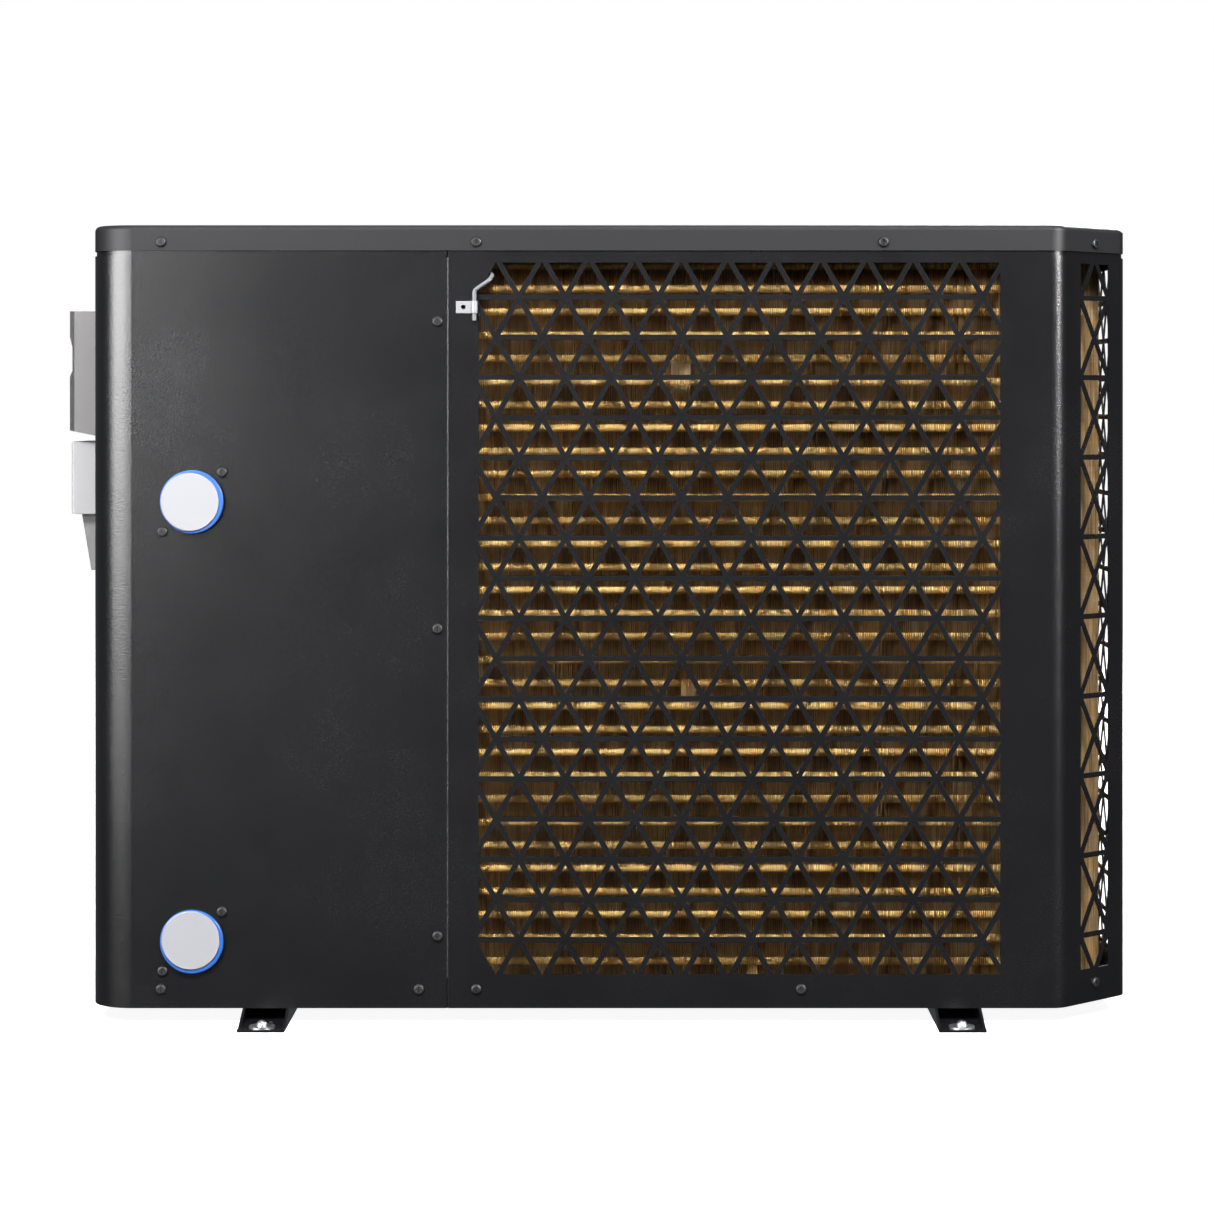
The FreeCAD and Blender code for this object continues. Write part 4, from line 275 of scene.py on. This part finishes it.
screen_glass = moulded("screen_glass", shade(10, 10, 12), 0.08, depth=0.000005, coat=1.0)
print("plastics:", white_box.material.name, dark_shell.material.name, rubber.material.name)

# %% [markdown]
# The flip cover is smoked dark plastic, and light shows through its end walls. That light is
# painted: the walls are light grey, and only a band at the outer face keeps the dark colour.
# One material does that: the place along X picks the colour, with a sharp step a few
# millimetres in from the outer face.

# %% Flip cover, with painted light on its end walls
DARK_BAND_DEPTH = 4.6 * MM
STEP_SHARPNESS = 1000       # the step takes 0.2 mm
cover_low, cover_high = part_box("controller_cover")
dark_cover = Finish("smoked_cover_plastic", shade(34, 32, 33), 0.24, coat=0.3)
along_x = dark_cover.node("SeparateXYZ", {}, {"Vector": dark_cover.place}, output="X")
step_at = cover_low.x + DARK_BAND_DEPTH
# painted light: the light grey inside the step stands in for light showing through the smoked end
# walls; the dark outer band is the plastic's own colour
painted_light_mask = dark_cover.steps(along_x * STEP_SHARPNESS + (0.5 - step_at * STEP_SHARPNESS),
                         (0.4, 0), (0.6, 1))
mould_skin = dark_cover.noise(1400, 2.0, 0.6)
dark_cover.wear(Base_Color=dark_cover.mix(painted_light_mask, dark_cover.color, tint(79, 77, 78)),
                Roughness=painted_light_mask * 0.2 + mould_skin * 0.06 + 0.2)
dark_cover.bump(mould_skin, 0.00004)
print("cover skin ends at x", round(step_at, 4))

# %% [markdown]
# The coil's fins are thin aluminium with a gold epoxy coat that sheds water. The coat is uneven:
# it is browner in some sheets than in others, greyer where the edge was rubbed, and darker in
# places. Streaks that run up and down, narrow across, give that look.

# %% Gold coat of the fins
gold_fin = Finish("gold_fin_coat", shade(214, 172, 104), 0.5, metallic=0.15)
fin_streaks = gold_fin.steps(gold_fin.noise(240, 3.0, 0.65, gold_fin.stretched(1, 1, 0.06)),
                             (0.38, 0), (0.64, 1))
fin_patches = gold_fin.steps(gold_fin.noise(26, 4.0, 0.6), (0.35, 0), (0.68, 1))
ripple = gold_fin.steps(gold_fin.noise(330, 2.0, 0.6, gold_fin.stretched(0.04, 0.04, 1)),
                        (0.42, 0), (0.62, 1))
browned = gold_fin.mix(fin_patches * 0.7, gold_fin.color, tint(176, 140, 100))
greyed = gold_fin.mix(ripple * 0.55, browned, tint(196, 184, 160))
gold_fin.wear(Base_Color=gold_fin.mix(fin_streaks * 0.8, greyed, tint(96, 74, 56)),
              Roughness=fin_streaks * 0.3 + 0.28)
gold_fin.bump(fin_streaks, 0.00005)

gold_tube = Finish("gold_tube_collars", shade(255, 222, 140), 0.38, metallic=0.1)
collar_spots = gold_tube.steps(gold_tube.noise(60, 4.0, 0.65), (0.4, 0), (0.75, 1))
gold_tube.wear(Base_Color=gold_tube.mix(collar_spots * 0.6, gold_tube.color,
                                        tint(236, 180, 100)),
               Roughness=collar_spots * 0.25 + 0.3)
gold_tube.bump(gold_tube.noise(900, 2.0), 0.0001)
print("gold finishes:", gold_fin.material.name, gold_tube.material.name)

# %% [markdown]
# Now each part of the frame gets its finish. A node keeps its mesh, and only its material slot
# changes. One table says which parts were painted, plated or moulded in the same way, and the
# loop after it looks for parts that were forgotten.

# %% Finish of every part
finishes = {
    case_coat: ("base_pan", "service_panel", "grille_panel", "front_panel"),
    cover_coat: ("top_cover",),
    rail_coat: ("foot_rail_left", "foot_rail_right"),
    zinc_plate: ("foot_bolts", "fan_nut", "compressor_studs"),
    screw_zinc: ("case_screws",),
    galvanised: ("partition", "motor_bracket", "evaporator_end_plates", "electrical_box",
                 "electrical_cover"),
    guard_coat: ("fan_guard", "bell_mouth"),
    cast: ("fan_motor",),
    steel: ("fan_shaft", "compressor_cylinder", "compressor_rotor", "flow_paddle", "hinge_pin"),
    fan_plastic: ("fan_blades",),
    gold_fin: ("evaporator_fins",),
    copper: ("evaporator_bends", "evaporator_header", "refrigerant_pipes"),
    enamel: ("compressor_shell", "accumulator"),
    rubber: ("compressor_grommets",),
    brass: ("reversing_valve", "valve_slide", "expansion_valve"),
    pipe_plastic: ("exchanger_shell", "exchanger_caps", "water_inlet_pipe", "water_outlet_pipe"),
    titanium: ("exchanger_coil",),
    dark_cover: ("controller_cover",),
    dark_shell: ("flow_switch",),
    hood_plastic: ("cable_hood",),
    blue_plug: ("plug_upper", "plug_lower"),
    white_disc: ("plug_disc_upper", "plug_disc_lower"),
    board: ("control_board",),
    grey_shell: ("controller_housing",),
    screen_glass: ("controller_display",),
    key_plastic: ("button_power", "button_mode", "button_down", "button_up"),
    white_box: ("terminal_box", "terminal_lid"),
    nylon_black: ("cable_gland", "drain_spout"),
    nylon_white: ("sensor_clip",),
    lead_sheath: ("sensor_lead",),
}
for finish, names in finishes.items():
    for name in names:
        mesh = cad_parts[name].data
        mesh.materials.clear()
        mesh.materials.append(finish.material)
bare = set(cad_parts) - {name for names in finishes.values() for name in names}
print("parts without a finish:", sorted(bare))

# %% [markdown]
# Pressed sheet and moulded boxes never have a perfectly sharp edge, so a Bevel modifier rounds
# them by a few tenths of a millimetre, and the edges catch the light. The imported meshes have
# double points and many small triangles, so a Weld joins the points and a Decimate makes each
# flat face one face again first. Weighted normals then keep the flat faces flat in the light.

# %% Rounded edges
EDGE_ROUNDING = {
    "service_panel": 0.35, "grille_panel": 0.35, "front_panel": 0.35, "top_cover": 0.35,
    "foot_rail_left": 0.4, "foot_rail_right": 0.4, "controller_cover": 0.6,
    "controller_housing": 0.6, "terminal_box": 0.5, "cable_hood": 0.5, "cable_gland": 0.4,
    "motor_bracket": 0.4, "partition": 0.3, "fan_guard": 0.6, "sensor_clip": 0.2,
    "electrical_box": 0.3, "electrical_cover": 0.3, "fan_nut": 0.5,
}
for name, width in EDGE_ROUNDING.items():
    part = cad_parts[name]
    weld = part.modifiers.new("join_points", "WELD")
    weld.merge_threshold = 0.01 * MM
    flat = part.modifiers.new("join_flat_faces", "DECIMATE")
    flat.decimate_type = "DISSOLVE"
    flat.angle_limit = math.radians(0.5)
    bevel = part.modifiers.new("rounded_edges", "BEVEL")
    bevel.width = width * MM
    bevel.segments = 2
    bevel.limit_method = "ANGLE"
    bevel.angle_limit = math.radians(35)
    even = part.modifiers.new("even_shading", "WEIGHTED_NORMAL")
    even.keep_sharp = True
print("rounded edges on", len(EDGE_ROUNDING), "parts")

# %% [markdown]
# The coil is a stack of sheet fins on rows of tubes, bent into an L. CAD holds it as one plain
# block, which would look like a brick through the guard. Here each fin is its own thin sheet,
# 1.8 mm from the next and set square to the coil's path. Real fins are pressed wavy and never
# stand quite even, so each one gets a small seeded lean: that makes the upright streaks.

# %% Path of the coil
fin_low, fin_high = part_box("evaporator_fins")
COIL_THICK = 44 * MM
BEND_OUT = 110 * MM          # outside radius of the coil's bend
bend_x, bend_y = fin_high.x - BEND_OUT, fin_low.y + BEND_OUT
run_one = bend_x - fin_low.x
run_two = fin_high.y - bend_y
bend_run = math.pi / 2 * (BEND_OUT - COIL_THICK / 2)


def on_coil(distance, depth):
    """A point at a distance along the coil's middle line, and a depth in from its outer skin."""
    if distance < run_one:
        return fin_low.x + distance, fin_low.y + depth, (1, 0)
    if distance > run_one + bend_run:
        return fin_high.x - depth, bend_y + distance - run_one - bend_run, (0, 1)
    turn = (distance - run_one) / bend_run * math.pi / 2
    reach = BEND_OUT - depth
    return (bend_x + reach * math.sin(turn), bend_y - reach * math.cos(turn),
            (math.cos(turn), math.sin(turn)))


coil_run = run_one + bend_run + run_two
print("coil is", round(coil_run, 3), "m long")

# %% [markdown]
# A mesh is a list of corners and a list of faces that name them. The helper below takes whole
# rows of corners and joins each row to the next. Open rows make a sheet, such as a fin, and
# rows that close round themselves make a tube. Everything new on this unit is made with it.

# %% Sheets and tubes
class Shape:
    """Corners and faces, collected until make() turns them into an object."""

    def __init__(self):
        self.corners, self.faces = [], []

    def grid(self, rows, closed=False):
        """Faces between rows of points; closed joins each row's last point to its first."""
        first, across = len(self.corners), len(rows[0])
        for row in rows:
            self.corners += row
        for r in range(len(rows) - 1):
            for c in range(across if closed else across - 1):
                a, b = first + r * across + c, first + r * across + (c + 1) % across
                self.faces.append((a, b, b + across, a + across))

    def thing(self, name, finish, smooth=False):
        """An object in the scene, which rides on nothing yet."""
        mesh = bpy.data.meshes.new(name)
        mesh.from_pydata(self.corners, [], self.faces)
        mesh.materials.append(finish.material)
        for face in mesh.polygons:
            face.use_smooth = smooth
        made = bpy.data.objects.new(name, mesh)
        bpy.context.scene.collection.objects.link(made)
        return made

    def make(self, name, finish, slot, body="case", smooth=True):
        """A piece of the unit, which rides on a body. The slot is not used."""
        made = self.thing(name, finish, smooth)
        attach(made, body)
        return made


print("a shape can", [name for name in vars(Shape) if name[0] != "_"])

# %% [markdown]
# Each fin is a sheet of nine folds from the front of the coil to its back, and the folds hide
# what is behind it. Its random lean and twist come from a seed, so every run gives the same
# coil. A few dents, as a knock with a tool leaves, push the front edges aside.

# %% Fins
FIN_PITCH = 1.8 * MM
TUBE_PITCH = 22 * MM
FIN_WAVE = 1.0 * MM
FIN_LEAN = 0.32 * MM
# depth from the front in mm, and how far to the side in shares of the wave
FIN_FOLDS = ((0, 0), (3, 0.25), (6.5, -0.1), (12, 1), (19, -1), (26, 1), (33, -1), (40, 1),
             (44, 0))
# along the coil and up it in metres, and half the size in mm
DENTS = ((0.193, 0.585, 9), (0.20, 0.30, 7), (0.31, 0.12, 6), (0.40, 0.44, 8),
         (0.26, 0.02, 5), (0.10, 0.49, 6))
DENT_PUSH = 1.3 * MM
random.seed(7)


def dented(at, up):
    """How far the front edge is pushed aside, at a distance along the coil and a height."""
    return sum(DENT_PUSH for dent_at, dent_up, size in DENTS
               if abs(at - dent_at) < size * MM and abs(up - dent_up) < size * MM)


fins = Shape()
fin_count = int(coil_run / FIN_PITCH)
levels = int((fin_high.z - fin_low.z) / TUBE_PITCH)
for k in range(fin_count):
    at = (k + 0.5) * FIN_PITCH
    lean = random.uniform(-FIN_LEAN, FIN_LEAN)
    twist = random.uniform(-FIN_LEAN, FIN_LEAN)
    phase = random.uniform(0, 6.28)
    rows = []
    for level in range(levels + 1):
        up = level / levels
        z = fin_low.z + up * (fin_high.z - fin_low.z)
        sway = lean + twist * math.sin(phase + up * 9)
        row = []
        for fold, (depth, side) in enumerate(FIN_FOLDS):
            x, y, (ahead_x, ahead_y) = on_coil(at, depth * MM)
            shift = sway * (1 - fold / len(FIN_FOLDS)) + FIN_WAVE * side
            if fold == 0:
                shift += dented(at, z - fin_low.z)
            row.append((x + ahead_x * shift, y + ahead_y * shift, z))
        rows.append(row)
    fins.grid(rows)
coil_fins = fins.make("coil_fins", gold_fin, "gold_fins", smooth=False)
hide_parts("evaporator_fins")
print(fin_count, "fins,", len(fins.faces), "faces")

# %% [markdown]
# The tubes run through the fins in two rows. Each fin has a collar round each tube, and the
# collars touch, so what shows between the fins is gold and not copper. A tube is swept along the
# same path as the fins, at the depth of its row, and a fine bump roughens its surface.

# %% Tubes
TUBE_R = 3.7 * MM
TUBE_DEPTHS = (11 * MM, 33 * MM)
TUBE_SIDES = 12
tubes = Shape()
BEND_STEPS = 12
stations = [0, run_one / 2, run_one]
stations += [run_one + bend_run * k / BEND_STEPS for k in range(1, BEND_STEPS + 1)]
stations += [run_one + bend_run + run_two]
tube_count = int(round((fin_high.z - fin_low.z) / TUBE_PITCH))
for depth in TUBE_DEPTHS:
    for k in range(tube_count):
        z = fin_low.z + TUBE_PITCH * (k + 0.5)
        rings = []
        for at in stations:
            ring = []
            for side in range(TUBE_SIDES):
                angle = 2 * math.pi * side / TUBE_SIDES
                x, y, _ = on_coil(at, depth + TUBE_R * math.cos(angle))
                ring.append((x, y, z + TUBE_R * math.sin(angle)))
            rings.append(ring)
        tubes.grid(rings, closed=True)
tubes.make("coil_tubes", gold_tube, "gold_fins")
print(tube_count * 2, "tubes")

# %% [markdown]
# The edge of the coil guard is folded back where it meets the service panel, as every sheet edge
# on the case is. The fold is a narrow rounded bead down the joint, and it draws a fine grey line
# in side light. It is a strip whose section is a shallow arc, run from the pan to the cover.

# %% Folded edge at the joint
FOLD_WIDTH, FOLD_RISE, FOLD_STEPS = 2.4 * MM, 0.12 * MM, 8
FOLD_ABOVE_PAN, FOLD_BELOW_TOP = 4 * MM, 22 * MM
guard_low, guard_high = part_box("grille_panel")
fold = Shape()
arcs = []
for z in (guard_low.z + FOLD_ABOVE_PAN, guard_high.z - FOLD_BELOW_TOP):
    arcs.append([(guard_low.x + FOLD_WIDTH * k / FOLD_STEPS,
                  guard_low.y - FOLD_RISE * math.sin(math.pi * k / FOLD_STEPS), z)
                 for k in range(FOLD_STEPS + 1)])
fold.grid(arcs)
fold.make("joint_fold", case_coat, "case_black")
print("fold at x", round(guard_low.x, 4), "height", round(arcs[1][0][2] - arcs[0][0][2], 3))

# %% [markdown]
# Behind its flip cover the controller shows the water temperature. Its figures are made of bars,
# as on a common seven-bar display, and the bars glow a little. Each bar is a thin box on the
# display plate, because a real shape stays sharp from every side.

# %% Display figures
plate_low, plate_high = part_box("controller_display")
lit = Finish("lit_bars", shade(120, 220, 255), 0.4)
lit.wear(Emission_Color=tint(120, 220, 255), Emission_Strength=1.2)
mark_ink = moulded("key_mark_ink", shade(40, 40, 44), 0.5)


BOX_FACES = ((0, 1, 2, 3), (7, 6, 5, 4), (0, 4, 5, 1), (1, 5, 6, 2), (2, 6, 7, 3), (3, 7, 4, 0))


def bar(shape, x, y0, y1, z0, z1, thick=0.25 * MM):
    """A flat bar that stands out towards -X."""
    corners = [(x, y0, z0), (x, y1, z0), (x, y1, z1), (x, y0, z1)]
    start = len(shape.corners)
    shape.corners += corners + [(cx - thick, cy, cz) for cx, cy, cz in corners]
    for face in BOX_FACES:
        shape.faces.append(tuple(start + i for i in face))


BARS_OF = {2: "top upper_right middle lower_left bottom",
           8: "top upper_left upper_right middle lower_left lower_right bottom"}
DIGIT_W, DIGIT_H, STROKE = 9 * MM, 17 * MM, 1.6 * MM
DIGIT_OUT = 8 * MM          # each figure's middle to the middle of the plate
SCREEN_SUNK, SCREEN_DOWN = 0.55 * MM, 19 * MM
digits = Shape()
screen_x = plate_low.x + SCREEN_SUNK
screen_z = plate_high.z - SCREEN_DOWN
for figure, middle_y in ((2, DIGIT_OUT), (8, -DIGIT_OUT)):
    for name in BARS_OF[figure].split():
        half_w, half_h = DIGIT_W / 2, DIGIT_H / 2
        z = screen_z + {"top": half_h, "middle": 0, "bottom": -half_h}.get(name, 0)
        if "_" in name:
            level, side = name.split("_")
            y = middle_y + half_w * (1 if side == "left" else -1)
            base = screen_z if level == "upper" else screen_z - half_h
            bar(digits, screen_x, y - STROKE / 2, y + STROKE / 2, base + STROKE,
                base + half_h - STROKE)
        else:
            bar(digits, screen_x, middle_y - half_w + STROKE, middle_y + half_w - STROKE,
                z - STROKE / 2, z + STROKE / 2)
digits.make("display_digits", lit, "display_black", smooth=False)
print("figures of", len(digits.faces), "faces")

# %% [markdown]
# A plus has an upright and a level bar, and a minus only the level one. Two keys get the plus
# marks, one the minus, and the power key a plain upright stroke. Each mark rides on the body of
# its own key, so it goes in when the key is pressed.

# %% Key marks
MARK_LONG, MARK_SHORT, MARK_THICK = 2.6 * MM, 0.45 * MM, 0.12 * MM
MARK_SUNK = 0.02 * MM
KEYS = ("power", "mode", "down", "up")
for key in KEYS:
    low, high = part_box("button_" + key)
    middle = (low + high) / 2
    bars = []
    if key != "power":
        bars.append((MARK_LONG, MARK_SHORT))
    if key != "down":
        bars.append((MARK_SHORT, MARK_LONG))
    mark = Shape()
    for wide, tall in bars:
        bar(mark, low.x + MARK_SUNK, middle.y - wide, middle.y + wide,
            middle.z - tall, middle.z + tall, MARK_THICK)
    mark.make("button_" + key + "_mark", mark_ink, "button_grey", "key_" + key, smooth=False)
print("marks on", len(KEYS), "keys")

# %% [markdown]
# The floor is a large pale sheet. It is lit softly, and it doesn't throw light back on the unit:
# in a studio the black case is kept black by dark cloths that stand just outside the view. The
# pale dome behind does the same job for the background, from whichever side one looks.

# %% Floor and backdrop
STAGE_R, STAGE_SIDES, DOME_SUNK = 14.0, 64, 0.5


def staged(name, finish, dome):
    """A round sheet, or a dome, that only the camera sees."""
    rings = 24 if dome else 2
    rows = []
    for r in range(rings + 1):
        rise = math.pi / 2 * r / rings
        reach = STAGE_R * math.cos(rise) if dome else STAGE_R * (1 - r / rings) + 0.001
        height = STAGE_R * math.sin(rise) - DOME_SUNK if dome else 0
        turns = [2 * math.pi * a / STAGE_SIDES for a in range(STAGE_SIDES)]
        rows.append([(reach * math.cos(a), reach * math.sin(a), height) for a in turns])
    shape = Shape()
    shape.grid(rows, closed=True)
    made = shape.thing(name, finish)
    made.visible_glossy = False
    made.visible_diffuse = False
    made.visible_shadow = not dome
    made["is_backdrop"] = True
    return made


pale_floor = Finish("pale_floor", (0.5, 0.5, 0.5), 0.9, specular=0.0)
pale_floor.wear(Emission_Color=(1, 1, 1, 1), Emission_Strength=0.93)
pale_dome = Finish("pale_backdrop", (0, 0, 0), 1.0, specular=0.0)
pale_dome.wear(Emission_Color=(1, 1, 1, 1), Emission_Strength=1.0)
for name, finish, dome in (("floor", pale_floor, False), ("backdrop", pale_dome, True)):
    stage = staged(name, finish, dome)
    print(stage.name, "of", len(stage.data.polygons), "faces")

# %% [markdown]
# A black object shows its lamps rather than its colour. A wide soft box stands at the left, high
# up, and its reflection fades down the panel and makes the bright line on the round corner. A
# narrow one at the right draws the line on the bend of the guard. These two are seen only in
# reflections, and the coil's own light is never reflected, so each can be set by itself.

# %% Lights
def soft_box(name, place, target, size, power, mirrored=True, spread=True):
    """A lamp of a size in metres and a power in watts, aimed from a place at a target."""
    lamp = bpy.data.lights.new(name, "AREA")
    lamp.shape = "RECTANGLE"
    lamp.size, lamp.size_y = size
    lamp.energy = power
    made = bpy.data.objects.new(name, lamp)
    bpy.context.scene.collection.objects.link(made)
    made.visible_glossy = mirrored
    made.visible_diffuse = spread
    made.location = place
    made.rotation_euler = (Vector(target) - Vector(place)).to_track_quat("-Z", "Y").to_euler()
    return made


soft_box("left_soft_box", (-2.57, -2.6, 1.25), (-0.47, -0.2, 1.0), (2.8, 1.8), 380,
         spread=False)
soft_box("right_strip", (2.5, -2.3, 1.85), (0.42, -0.2, 1.0), (0.35, 1.5), 460, spread=False)
soft_box("top_soft_box", (0.0, -0.9, 3.4), (0, 0, 0.4), (2.4, 1.2), 50)
soft_box("coil_light", (-0.5, -2.6, 3.0), (0.15, -0.2, 0.3), (2.8, 0.8), 590, mirrored=False)
soft_box("rear_soft_box", (1.6, 3.2, 2.4), (0, 0.2, 0.4), (1.8, 1.8), 380)
world = bpy.data.worlds.new("soft_sky")
world.use_nodes = True
sky = world.node_tree.nodes["Background"].inputs
sky["Color"].default_value = (0.92, 0.95, 1.0, 1)
sky["Strength"].default_value = 0.12
bpy.context.scene.world = world
bpy.context.scene.view_settings.view_transform = "Standard"
print("lights", len(bpy.data.lights))

# %% [markdown]
# The camera looks at the coil side, square on, with a long lens. Square on keeps the upright
# edges parallel, and the lens is shifted down instead of tilted, as is done for a catalogue.

# %% Camera
camera_data = bpy.data.cameras.new("camera")
camera_data.lens = 96.0
camera_data.sensor_width = 36.0
camera_data.shift_x = -0.019
camera_data.shift_y = -0.167
camera_data.clip_end = 100.0
camera = bpy.data.objects.new("camera", camera_data)
bpy.context.scene.collection.objects.link(camera)
camera.location = (0.017, -3.26, 0.583)
camera.rotation_euler = (math.radians(90), 0, 0)
bpy.context.scene.camera = camera
print("camera", tuple(camera.location))

# %% [markdown] Last, the size of the finished model is measured.

# %% Sizes and the end
low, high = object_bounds()
